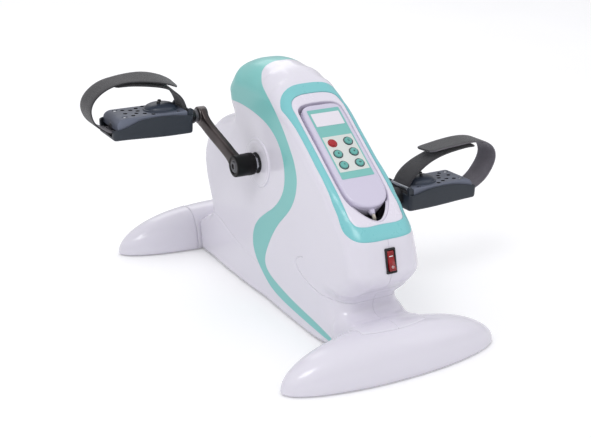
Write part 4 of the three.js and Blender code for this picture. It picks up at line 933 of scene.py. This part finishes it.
# --------------------------------------------------------------------------
# axle covers, nuts, bolts, crank arms, spindles
def xl(s, V): V = np.array(V, float); V[:, 0] *= s; return V
for side, s in (("left", -1), ("right", 1)):
    prof = [(49.3, 0), (49.3, 34.0), (50.1, 34.0), (50.7, 33.75), (51.15, 33.2), (51.4, 32.4), (51.45, 31.2), (51.3, 30.4), (51.3, 29.8),
            (51.6, 29.0), (51.8, 27.6), (51.85, 24), (51.85, 15.0), (51.6, 14.2), (51.0, 13.6), (50.4, 13.4), (50.4, 0)]
    V_, F_ = lathe(prof, 96, "x", (0, CY, CZ))
    orient(mk("axle_disc_" + side, xl(s, V_), F_, WHITE, "root", ("axle_cover_" + side,), sharp=28))
    # nut on the shaft, and a thin dark ring between it and the axle disc
    hexr = lambda R, x, d=0.0: np.array([(x, (R - d) * math.cos(math.pi / 3 * i + 0.2), (R - d) * math.sin(math.pi / 3 * i + 0.2)) for i in range(6)])
    def hexring(R, x, d=0.0, n=10):
        H = hexr(R, x, d); out = []
        for i in range(6):
            a, b = H[i], H[(i + 1) % 6]
            out += [a + (b - a) * j / n for j in range(n)]
        return np.array(out)
    def circ(R, x, n=60): return np.array([(x, R * math.cos(2 * math.pi * i / n + 0.2), R * math.sin(2 * math.pi * i / n + 0.2)) for i in range(n)])
    def mixr(A, R, x, lim):
        B = A.copy(); r = np.hypot(B[:, 1], B[:, 2]); k = np.minimum(1, lim / r); B[:, 1] *= k; B[:, 2] *= k; B[:, 0] = x; return B
    H0 = hexring(12, 0)
    rs = [mixr(H0, 12, 52.4, 10.7), mixr(H0, 12, 52.9, 11.6), mixr(H0, 12, 53.3, 12.2), mixr(H0, 12, 56.5, 12.2), mixr(H0, 12, 56.9, 11.6), mixr(H0, 12, 57.35, 10.6), circ(9.6, 57.35), circ(9.0, 57.0), circ(9.0, 52.4)]
    V_, F_ = loft(rs, False, False); k = len(rs) - 1
    F_ += [(k * 60 + j, k * 60 + (j + 1) % 60, (j + 1) % 60, j) for j in range(60)]
    V_[:, 1] += CY; V_[:, 2] += CZ
    orient(mk("axle_nut_" + side, xl(s, V_), F_, STEEL, "crank", ("shaft_nut_" + side,), sharp=28))

    # thin dark ring on the axle disc, reaching out past the nut
    V_, F_ = lathe([(51.87, 9.2), (51.87, 14.2), (52.1, 14.4), (52.3, 14.0), (52.3, 9.2), (51.87, 9.2)], 60, "x", (0, CY, CZ))
    orient(mk("axle_dark_ring_" + side, xl(s, V_), F_, RUBBER, "root", sharp=40))

    th = math.radians(CDEG)
    A = np.array([0, -math.cos(th), -math.sin(th)]) if s > 0 else np.array([0, math.cos(th), math.sin(th)])
    X = np.array([s, 0, 0.0]); B = np.cross(X, A); O = np.array([0, CY, CZ])
    def W(P): P = np.asarray(P, float); return O + P[:, :1] * X + P[:, 1:2] * A + P[:, 2:3] * B    # (x outwards, along the arm, across)
    # forged arm: sections along the arm, set over towards the pedal
    def section(a):
        """Centre in x, half thickness, half width of the arm at distance a."""
        t = a / CR
        cx = 80.3 + 15.6 * sstep(t, 0.02, 0.98) * 1.0
        ht = 5.6 - 0.5 * math.sin(math.pi * min(1, max(0, t)))
        hw = 9.9 + 4.4 * float(1 - sstep(t, -0.02, 0.24)) + 3.4 * float(sstep(t, 0.80, 1.0))
        return cx, ht, hw
    rings = []; NS = 40
    def superell(hx, hy, e, n):
        out = []
        for i in range(n):
            t = 2 * math.pi * i / n; c, q = math.cos(t), math.sin(t)
            out.append((hx * math.copysign(abs(c) ** (2 / e), c), hy * math.copysign(abs(q) ** (2 / e), q)))
        return np.array(out)
    for a in np.linspace(-1, CR + 1, 44):
        cx, ht, hw = section(a); E = superell(ht, hw, 4.2, NS)
        rings.append(np.stack([cx + E[:, 0], np.full(NS, a), E[:, 1]], 1))
    V1_, F1_ = loft([W(r) for r in rings])
    def cylx(prof, a0, seg=56):
        V, F = lathe(prof, seg, "x"); V = np.stack([V[:, 0], V[:, 1] + a0, V[:, 2]], 1); return W(V), F
    # hub with a recessed outer face, eye with chamfered rims
    hub = cylx([(58.0, 8.8), (58.0, 14.2), (58.25, 14.7), (58.9, 15.0), (84.6, 15.0), (85.7, 14.75), (86.3, 14.1), (86.5, 13.4), (86.5, 11.0),
                (86.2, 10.4), (85.4, 10.1), (83.9, 10.0), (83.9, 8.8), (58.0, 8.8)], 0.0)
    eye = cylx([(89.6, 6.3), (89.6, 10.6), (90.0, 11.4), (90.8, 11.9), (100.6, 11.9), (101.5, 11.4), (101.9, 10.6), (101.9, 8.0), (101.5, 7.6), (101.5, 6.3), (89.6, 6.3)], CR)
    arm = orient(mk("arm_" + side, V1_, F1_, CRANK, "crank", ("crank_arm_" + side,), sharp=40))
    orient(mk("arm_hub_" + side, hub[0], hub[1], HUB, "crank", sharp=30))
    orient(mk("arm_eye_" + side, eye[0], eye[1], CRANK, "crank", sharp=30))
    # ribs pressed into the hub's barrel
    for q in range(3):
        rv, rf = lathe([(61.2 + q * 1.9, 14.6), (61.2 + q * 1.9, 15.12), (61.5 + q * 1.9, 15.3), (62.1 + q * 1.9, 15.3), (62.4 + q * 1.9, 15.12), (62.4 + q * 1.9, 14.6), (61.2 + q * 1.9, 14.6)], 56, "x")
        orient(mk("hub_rib_%s_%d" % (side, q), W(rv), rf, HUB, "crank", sharp=40))
    # crank bolt: flanged head with a hexagon socket
    H0 = hexring(4.2, 0)
    rs = [circ(9.2, 84.0), circ(9.4, 84.3), circ(9.4, 85.3), circ(9.0, 85.8), circ(7.6, 86.1), circ(7.0, 86.6), circ(6.8, 87.1), circ(6.3, 87.4), circ(4.9, 87.4), mixr(H0, 4, 87.1, 4.4), mixr(H0, 4, 84.6, 4.4)]
    V_, F_ = loft(rs, True, True)
    orient(mk("bolt_head_" + side, W(V_), F_, BOLTM, "crank", ("crank_bolt_" + side,), sharp=28))
    out = 228.0
    V_, F_ = lathe([(89.5, 0), (89.5, 4.2), (90.3, 5.4), (91.2, 6.0), (102.3, 6.0), (102.3, 8.4), (102.7, 8.7), (106.4, 8.7), (107, 8.2), (107.2, 6.3), (108, 6.0), (227.2, 6.0), (out, 5.2), (out, 0)], 40, "x")
    V_ = np.stack([V_[:, 0], V_[:, 1] + CR, V_[:, 2]], 1)
    orient(mk("spindle_" + side, W(V_), F_, BOLTM, "crank", ("pedal_spindle_" + side,), sharp=28))

# --------------------------------------------------------------------------
# pedals
OUTER = {"left": [(226, -4.6), (232, -3.7), (239, -1.8), (248, 3.6), (256.5, 11.5), (261.3, 21), (262.3, 31), (258.6, 41), (249, 50.8), (235, 58.2), (214, 62.4), (190, 62.8), (168, 60.0), (152, 55.4), (139.5, 49.8)],
         "right": [(226, -4.6), (232, -3.7), (239.5, -1.6), (249, 3.2), (258, 9.8), (265.5, 18.5), (271.5, 28), (274.6, 38), (273.2, 47.5), (267, 56.2), (257, 62.4), (244, 65.4), (228, 66.2), (210, 65.2), (189, 63.4), (164, 60.4)]}
INNER = {"left": [(127.6, 6), (127.9, 14), (130.2, 23), (134.6, 32), (142.6, 41.2), (155, 49.6), (176, 55.2), (203, 57.8), (226, 57.4)],
         "right": [(127.6, 6), (127.9, 14), (130.6, 22), (137, 30), (146, 37.2), (158, 44.3), (172, 50), (190, 55), (208, 58.2), (226, 59.8), (240, 59.4)]}
SHIFT = {"left": -3.0, "right": 4.0}
TILT = {"left": 0.0, "right": 2.0}

def pedal_frame(side):
    s = -1 if side == "left" else 1
    th = math.radians(CDEG)
    py = CY - s * CR * math.cos(th); pz = CZ - s * CR * math.sin(th)
    t = math.radians(-TILT[side])
    R = np.array([[1, 0, 0], [0, math.cos(t), -math.sin(t)], [0, math.sin(t), math.cos(t)]])
    U = R @ np.array([s, 0, 0.0]); Vv = R @ np.array([0, s, 0.0]); Z = R @ np.array([0, 0, 1.0])
    O = np.array([0, py, pz]) + np.array([s * SHIFT[side], 0, 0])
    return lambda P: O + np.asarray(P, float)[:, :1] * U + np.asarray(P, float)[:, 1:2] * Vv + np.asarray(P, float)[:, 2:3] * Z

def wall_top(u, v):
    """Height of the tub's rim: each long side flows down towards opposite ends."""
    near = np.interp(u, [123, 132, 150, 172, 190, 200, 208, 216, 224, 231, 236], [9.6, 11.2, 13.4, 14.6, 14.0, 12.4, 9.2, 5.8, 3.6, 2.6, 2.4])
    far = np.interp(u, [123, 130, 138, 148, 160, 174, 190, 206, 220, 230, 236], [7.2, 8.0, 9.6, 12.0, 14.0, 14.9, 14.6, 12.6, 9.4, 6.6, 5.6])
    w = sstep(v, -24, 24)
    return near * w + far * (1 - w)

def smooth1(a, n=5):
    k = np.ones(n) / n; b = np.concatenate([a[-n:], a, a[:n]]); return np.convolve(b, k, "same")[n:-n]

def tub_outline(inset=0.0, r=5.0, n=220):
    u0, u1, hv = 123 + inset, 236 - inset, 30 - inset
    r = max(0.8, r - inset)
    P = []
    for (u, v, a0) in ((u1 - r, hv - r, 0), (u0 + r, hv - r, 90), (u0 + r, -hv + r, 180), (u1 - r, -hv + r, 270)):
        for i in range(13):
            a = math.radians(a0 + 90 * i / 12); P.append((u + r * math.cos(a), v + r * math.sin(a)))
    return resample(np.array(P), n)

def grid_cap(n): return tuple(range(n))

for side in ("left", "right"):
    L = pedal_frame(side); body_name = side + "_pedal"
    NP = 240
    o0 = tub_outline(0, 5.0, NP)
    def level(ins, z, taper=0.0):
        P = tub_outline(ins, 5.0, NP)
        return P
    base = tub_outline(0, 5.0, NP); ht = smooth1(wall_top(base[:, 0], base[:, 1]), 9)
    ht = ht - (ht + 6.2) * (base[:, 0] > 235.5) * (1 - sstep(np.abs(base[:, 1]), 20.6, 22.4))       # notch for the strap
    zb = -15 + 3.0 * sstep(base[:, 0], 150, 236)       # underside rises towards the outer end
    def inset_ring(d, z):
        """The side walls lean out slightly towards the rim."""
        z = np.asarray(z, float) + np.zeros(NP); k = np.clip((z - zb) / (12 - zb), 0, 1.1)
        Q = offset2(base, d); Q[:, 1] *= 1 + (k - 0.75) * 0.07
        return np.column_stack([Q, z])
    rs = [inset_ring(3.2, zb), inset_ring(1.6, zb + 0.35), inset_ring(0.55, zb + 1.3), inset_ring(0.12, zb + 2.6), inset_ring(0.0, zb + 4.5),
          inset_ring(-0.0, ht * 0.4 + zb * 0.3), inset_ring(0.0, ht - 1.4), inset_ring(0.16, ht - 0.6), inset_ring(0.6, ht - 0.12), inset_ring(1.3, ht + 0.05),
          inset_ring(2.1, ht - 0.12), inset_ring(2.6, ht - 0.6), inset_ring(2.8, ht - 1.5), inset_ring(2.9, np.full(NP, -1.0)), inset_ring(3.0, np.full(NP, -8.0))]
    V_, F_ = loft(rs, True, True)
    tub = orient(mk("pedal_tub_" + side, L(V_), F_, PEDAL, body_name, ("pedal_body_" + side,), sharp=40))
    # spindle boss and end bearing collar on the inner wall
    V_, F_ = lathe([(107.4, 6.2), (107.4, 9.0), (108.0, 9.8), (109.0, 10.2), (116.5, 10.6), (117.5, 11.2), (118.4, 12.4), (123.6, 12.9), (123.6, 6.2), (107.4, 6.2)], 44, "x")
    V_ = V_ - np.array([SHIFT[side] * 0, 0, 0]); V_[:, 0] = np.where(V_[:, 0] < 120, V_[:, 0] - SHIFT[side], V_[:, 0])
    orient(mk("pedal_boss_" + side, L(V_), F_, BLACKP, body_name, sharp=32))
    # metal bar and its two lugs at the inner end
    V_, F_ = loft([np.column_stack([125.8 + (1.9 if abs(v) < 18.9 else 1.3) * np.cos(np.linspace(0, 2 * np.pi, 20, endpoint=False)), np.full(20, v), 15.4 + (2.6 if abs(v) < 18.9 else 1.8) * np.sin(np.linspace(0, 2 * np.pi, 20, endpoint=False))])
                   for v in (-19.6, -19.3, -19.0, -18.6, 21.0, 21.4, 21.8, 22.0)])
    orient(mk("strap_bar_rod_" + side, L(V_), F_, ZINC, body_name, ("strap_bar_" + side,), sharp=35))
    for q, v in ((0, -24.6), (1, 24.6)):
        P = catmull([(123.4, 4), (122.9, 12), (122.6, 16.6), (124.6, 18.9), (128.0, 17.6), (130.2, 13), (130.6, 4)], 1.0)
        rs = [np.column_stack([P[:, 0], np.full(len(P), v + d), P[:, 1]]) for d in (-2.5, -2.1, 2.1, 2.5)]
        c = np.array([127.4, 0, 10]);
        for k2 in (0, 3): rs[k2][:, 0] = c[0] + (rs[k2][:, 0] - c[0]) * 0.9; rs[k2][:, 2] = c[2] + (rs[k2][:, 2] - c[2]) * 0.93
        V_, F_ = loft(rs)
        orient(mk("strap_bar_lug_%s_%d" % (side, q), L(V_), F_, PEDAL, body_name, sharp=40))

    # tread: textured plate with a rolled outer shoulder, drilled holes and a domed pad
    us = np.concatenate([[131.0, 131.3, 132.0, 133], np.linspace(135, 218, 56), [220, 222, 224, 225.6, 227, 228.2, 229.0, 229.5, 229.8]])
    def top_z(u, v):
        z = 16.5 - 0.000 * u
        z = z - 7.5 * (1 - np.sqrt(np.maximum(0, 1 - np.clip((u - 218.5) / 11.35, 0, 1) ** 2)))
        z = z - 1.2 * (1 - np.sqrt(np.maximum(0, 1 - np.clip((133 - u) / 2.2, 0, 1) ** 2)))
        e = np.clip((np.abs(v) - 24.4) / 2.0, 0, 1); z = z - 2.0 * (1 - np.sqrt(1 - e ** 2))
        return z
    vs = np.concatenate([[-26.4, -26.25, -25.8, -25.2, -24.4], np.linspace(-23, 23, 24), [24.4, 25.2, 25.8, 26.25, 26.4]])
    UU, VV_ = np.meshgrid(us, vs, indexing="ij"); ZZ = top_z(UU, VV_)
    nu, nv = UU.shape
    top = np.column_stack([UU.ravel(), VV_.ravel(), ZZ.ravel()])
    idx = np.arange(nu * nv).reshape(nu, nv)
    F_ = [(idx[i, j], idx[i + 1, j], idx[i + 1, j + 1], idx[i, j + 1]) for i in range(nu - 1) for j in range(nv - 1)]
    bd = list(idx[0, :]) + list(idx[1:, -1]) + list(idx[-1, -2::-1]) + list(idx[-2:0:-1, 0])
    low = top[bd].copy(); low[:, 2] = np.where(low[:, 0] > 190, 0.5, 3.0)
    nb = len(top); V_ = np.concatenate([top, low])
    for q in range(len(bd)):
        r2 = (q + 1) % len(bd); F_.append((bd[q], nb + q, nb + r2, bd[r2]))
    F_.append(tuple(nb + q for q in range(len(bd))))
    tread = orient(mk("tread_plate_" + side, L(V_), F_, TREAD, body_name, ("pedal_tread_" + side,), sharp=40))
    HOLES = [(187.5, -15.5), (186, 12.5), (190, -2.5), (195.5, 7), (197.5, -10), (203.5, 15.5), (207, -14.5), (209.5, 2.0), (176.5, -20.5), (177, 20.5)]
    cut = []
    for (u, v) in HOLES:
        a = np.linspace(0, 2 * np.pi, 20, endpoint=False)
        rr = [np.column_stack([u + r3 * np.cos(a), v + r3 * np.sin(a), np.full(20, z)]) for r3, z in ((2.7, 11.0), (2.7, 16.0), (3.1, 16.55), (3.5, 18.5))]
        cut.append(loft(rr))
    SCREWS = [(216.0, 17.2), (217.0, -17.2), (142.5, 21.0), (142.5, -21.0)]
    for (u, v) in SCREWS:
        a = np.linspace(0, 2 * np.pi, 28, endpoint=False)
        rr = [np.column_stack([u + r3 * np.cos(a), v + r3 * np.sin(a), np.full(28, z)]) for r3, z in ((3.7, 13.2), (3.7, 18.5))]
        cut.append(loft(rr))
    Vc, Fc = join_parts(cut)
    cutter = orient(mk("cutter", L(Vc), Fc, BLACKP, body_name))
    bm_ = tread.modifiers.new("holes", "BOOLEAN"); bm_.operation = "DIFFERENCE"; bm_.solver = "EXACT"; bm_.object = cutter
    bpy.context.view_layer.update()
    dg = bpy.context.evaluated_depsgraph_get()
    me = bpy.data.meshes.new_from_object(tread.evaluated_get(dg)); tread.modifiers.clear(); old = tread.data; tread.data = me
    me.materials.clear(); me.materials.append(TREAD); me.materials.append(BLACKP)
    # hole walls and floors get the black plastic: painted shade down the drilled holes
    mi = np.zeros(len(me.polygons), dtype=np.int32)
    Lc = L(np.array([[h[0], h[1], 0] for h in HOLES])) * MM
    zax = (L(np.array([[0, 0, 1.0]])) - L(np.array([[0, 0, 0.0]])))[0]
    for p in me.polygons:
        c = np.array(p.center); d = Lc - c; along = d @ zax; lat = np.linalg.norm(d - along[:, None] * zax, axis=1)
        if lat.min() < 0.0029 and abs(np.dot(np.array(p.normal), zax)) < 0.95 or (lat.min() < 0.0026 and -along[lat.argmin()] < 0.0135): mi[p.index] = 1
    me.polygons.foreach_set("material_index", mi)
    me.polygons.foreach_set("use_smooth", np.ones(len(me.polygons), dtype=bool)); me.set_sharp_from_angle(angle=math.radians(35))
    bpy.data.objects.remove(cutter)
    # pan-head screws
    for q, (u, v) in enumerate(SCREWS):
        V_, F_ = lathe([(13.4, 0), (13.4, 3.1), (14.8, 3.1), (15.5, 2.8), (16.1, 2.1), (16.35, 1.2), (16.4, 0)], 28, "z", (u, v, 0))
        sc = orient(mk("tread_screw_%s_%d" % (side, q), L(V_), F_, STEEL, body_name, sharp=40))
    # dome with a rim step and two studs
    parts = []
    a = np.linspace(0, 2 * np.pi, 72, endpoint=False)
    def ell(kx, ky, z, cu=158.5): return np.column_stack([cu + kx * np.cos(a), ky * np.sin(a), np.full(72, z)])
    rs = [ell(24.2, 20.6, 15.6), ell(24.2, 20.6, 17.6), ell(24.0, 20.4, 18.0), ell(23.5, 19.9, 18.25), ell(22.3, 18.8, 18.35)]
    for t in np.linspace(0.06, 0.985, 14):
        rs.append(ell(22.1 * math.cos(t * math.pi / 2), 18.6 * math.cos(t * math.pi / 2), 18.3 + 7.6 * math.sin(t * math.pi / 2)))
    V_, F_ = loft(rs)
    orient(mk("tread_dome_" + side, L(V_), F_, DOME, body_name, sharp=30))
    for q, (u, v) in enumerate(((158.0, -4.4), (163.0, 4.4))):
        V_, F_ = lathe([(22.5, 0), (22.5, 2.6), (27.0, 2.5), (27.7, 2.1), (28.1, 1.4), (28.2, 0)], 24, "z", (u, v, 0))
        orient(mk("dome_stud_%s_%d" % (side, q), L(V_), F_, BLACKP, body_name, sharp=40))

    # straps
    def roll(u, z):
        """The worn strap leans a little across its width where the two lengths lie on each other."""
        return (0.13 if side == "left" else 0.06) * sstep(z, 30, 50) * (1 - sstep(u, 170, 226))
    def strap(name, path, hw, th, mat, mat2, replaces, tip=None, under=None):
        P = catmull(path, 1.6); d = np.r_[0, np.cumsum(np.linalg.norm(np.diff(P, axis=0), axis=1))]; LEN = d[-1]
        t = np.gradient(P, axis=0); t /= np.linalg.norm(t, axis=1)[:, None]; n = np.column_stack([-t[:, 1], t[:, 0]])
        nc = 21; rings = []; uvs = []
        for i in range(len(P)):
            w = hw
            if tip:
                q = d[i] - (LEN - tip)
                if q > 0: w = max(1.2, (hw - tip * 0.55) + tip * 0.55 * math.sqrt(max(0, 1 - (q / tip) ** 2)))
            w *= 1 - 0.012 * math.sin(d[i] * 0.11)
            ring = []; uvr = []; lean = float(roll(P[i, 0], P[i, 1])) * w
            vv = np.linspace(-1, 1, nc)
            for k3, v in enumerate(vv):       # top face, slightly pillowed, thinner at the selvedge
                e = th / 2 * (1 - 0.42 * abs(v) ** 8) + 0.12 * (1 - v * v)
                ring.append((P[i, 0] + n[i, 0] * e, v * w, P[i, 1] + n[i, 1] * e - lean * v)); uvr.append((d[i], v * w))
            for k3, v in enumerate(vv[::-1]):
                e = -th / 2 * (1 - 0.42 * abs(v) ** 8)
                ring.append((P[i, 0] + n[i, 0] * e, v * w * 0.997, P[i, 1] + n[i, 1] * e - lean * v)); uvr.append((d[i], v * w + 100))
            rings.append(np.array(ring)); uvs += uvr
        V, F = loft(rings)
        fm = []
        m2 = 2 * nc
        for f in F:
            if len(f) == 4: fm.append(1 if (f[0] % m2) >= nc - 1 and (f[0] % m2) < m2 - 1 else 0)
            else: fm.append(1)
        o = mk(name, L(V), F, None, body_name, replaces, sharp=60, mats=[mat, mat2], fmat=fm)
        uv = o.data.uv_layers.new(name="strap"); U = np.array(uvs) * MM
        vi = np.zeros(len(o.data.loops), dtype=np.int32); o.data.loops.foreach_get("vertex_index", vi)
        uv.data.foreach_set("uv", U[vi].ravel().astype(np.float32))
        return orient(o), P, n, d
    # upper face in the lighter webbing (painted light), underside and edges in the strap's own dark webbing
    so, P, n, d = strap("strap_top_" + side, OUTER[side], 20.0, 2.6, WEB_LIT_TOP, WEB_DARK, ("strap_outer_" + side,), tip=11.0)
    strap("strap_under_" + side, INNER[side], 18.8, 2.4, WEB_DARK, WEB_DARK, ("strap_inner_" + side,), tip=6.0)
    # stitched box on the flap
    st = []
    def at(dist, v, up):
        x = np.interp(dist, d, P[:, 0]); z = np.interp(dist, d, P[:, 1]); nx = np.interp(dist, d, n[:, 0]); nz = np.interp(dist, d, n[:, 1])
        return np.array([x + nx * up, v, z + nz * up - float(roll(x, z)) * v])
    LEN = d[-1]
    def stitch(d0, v0, d1, v1):
        length = math.hypot(d1 - d0, v1 - v0); k4 = max(2, int(length / 3.4))
        for i in range(k4):
            a0, a1 = i / k4 + 0.12 / k4, (i + 0.8) / k4
            pts = []
            for q in np.linspace(a0, a1, 5):
                dd, v = d0 + (d1 - d0) * q, v0 + (v1 - v0) * q
                pts.append(at(dd, v, 1.36 + 0.16 * math.sin(math.pi * (q - a0) / (a1 - a0))))
            pts = np.array(pts)
            dirn = pts[-1] - pts[0]; dirn /= np.linalg.norm(dirn); nn = np.array([0, 1.0, 0]) if abs(dirn[1]) < 0.7 else np.array([1.0, 0, 0])
            sd = np.cross(dirn, nn); sd /= np.linalg.norm(sd); rd = np.cross(dirn, sd)
            rr = []
            for j, p in enumerate(pts):
                w = 0.34 * (0.45, 0.9, 1.0, 0.9, 0.45)[j]; an = np.linspace(0, 2 * np.pi, 6, endpoint=False)
                rr.append(p + w * (np.cos(an)[:, None] * sd + np.sin(an)[:, None] * rd))
            st.append(loft(rr))
    e0 = LEN - 13.0; e1 = LEN - 92.0
    stitch(e0, -16.0, e0, 16.0); stitch(e0, 16.4, e1, 16.4); stitch(e0, -16.4, e1, -16.4); stitch(e1, -16, e1, 16)
    V_, F_ = join_parts(st)
    orient(mk("strap_stitching_" + side, L(V_), F_, WEB_DARK, body_name, sharp=None))

# --------------------------------------------------------------------------
# carried-over nodes get their own finishes
def paint(node, mat):
    o = N_[node]; o.data.materials.clear(); o.data.materials.append(mat)
for nm, m in (("chassis_frame", FRAMEP), ("crank_shaft", STEEL), ("worm_wheel", BRASS), ("bearing_left", ZINC), ("bearing_right", ZINC),
              ("motor", ZINC), ("worm_shaft", STEEL), ("gearcase_left", CASE), ("gearcase_right", CASE), ("control_board", BOARD), ("handset_board", BOARD)):
    paint(nm, m)

# --------------------------------------------------------------------------
# floor, light and camera
def stage_scene():
    bpy.ops.mesh.primitive_plane_add(size=30, location=(0, 0, -0.0002))
    floor = bpy.context.object; floor.name = "studio_floor"
    n = Nodes("studio_paper")
    w = n.noise(3, 2.0)
    c = n.ramp(w.outputs["Fac"], [(0.3, (0.93, 0.93, 0.935)), (0.7, (0.95, 0.95, 0.955))])
    n.link(c.outputs["Color"], n.b.inputs["Base Color"]); n.b.inputs["Roughness"].default_value = 0.7
    n.link(c.outputs["Color"], n.b.inputs["Emission Color"])
    lp = n.t.nodes.new("ShaderNodeLightPath")
    n.link(n.math("MULTIPLY", lp.outputs["Is Camera Ray"], 0.18), n.b.inputs["Emission Strength"])
    n.b.inputs["Specular IOR Level"].default_value = 0.2
    floor.data.materials.append(n.m)
    world = bpy.data.worlds.new("studio"); bpy.context.scene.world = world; world.use_nodes = True
    # white to the camera, a dimmer studio dome (bright above, grey at the horizon) to everything else
    nt = world.node_tree; bg = nt.nodes["Background"]
    lp = nt.nodes.new("ShaderNodeLightPath"); co = nt.nodes.new("ShaderNodeTexCoord"); sp = nt.nodes.new("ShaderNodeSeparateXYZ")
    nt.links.new(co.outputs["Generated"], sp.inputs["Vector"])
    r = nt.nodes.new("ShaderNodeValToRGB"); nt.links.new(sp.outputs["Z"], r.inputs["Fac"])
    e = r.color_ramp.elements; e[0].position = 0.0; e[0].color = (0.46, 0.46, 0.48, 1); e[1].position = 0.8; e[1].color = (0.82, 0.82, 0.84, 1)
    mx = nt.nodes.new("ShaderNodeMix"); mx.data_type = "RGBA"
    nt.links.new(lp.outputs["Is Camera Ray"], mx.inputs[0]); nt.links.new(r.outputs["Color"], mx.inputs[6]); mx.inputs[7].default_value = (1, 1, 1, 1)
    nt.links.new(mx.outputs[2], bg.inputs["Color"]); bg.inputs["Strength"].default_value = 1.0
    def area(name, loc, size, power, target=(0, 0, 0.15), size_y=None):
        d = bpy.data.lights.new(name, "AREA"); d.energy = power; d.size = size
        if size_y: d.shape = "RECTANGLE"; d.size_y = size_y
        o = bpy.data.objects.new(name, d); bpy.context.scene.collection.objects.link(o)
        o.location = loc
        o.rotation_euler = (Vector(target) - Vector(loc)).to_track_quat("-Z", "Y").to_euler()
        return o
    area("key", (-1.3, -1.0, 2.2), 1.0, 15)
    area("fill", (1.8, -1.4, 1.4), 1.4, 3)
    area("rim", (0.6, 2.0, 1.8), 1.4, 7)
    cam = bpy.data.cameras.new("camera"); cam.lens = 69.96; cam.sensor_width = 36.0
    co = bpy.data.objects.new("camera", cam); bpy.context.scene.collection.objects.link(co)
    az, el, roll, dist = math.radians(-29.8), math.radians(21.2), math.radians(0.8), 1.5879
    back = Vector((math.sin(az) * math.cos(el), -math.cos(az) * math.cos(el), math.sin(el)))
    target = Vector((0, -0.0004, 0.1121))
    co.location = target + back * dist
    q = (-back).to_track_quat("-Z", "Y")
    co.rotation_mode = "QUATERNION"
    co.rotation_quaternion = q @ Matrix.Rotation(roll, 4, "Z").to_quaternion()
    cam.clip_start = 0.05; cam.clip_end = 50
    bpy.context.scene.camera = co
    bpy.context.scene.view_settings.view_transform = "Standard"
stage_scene()
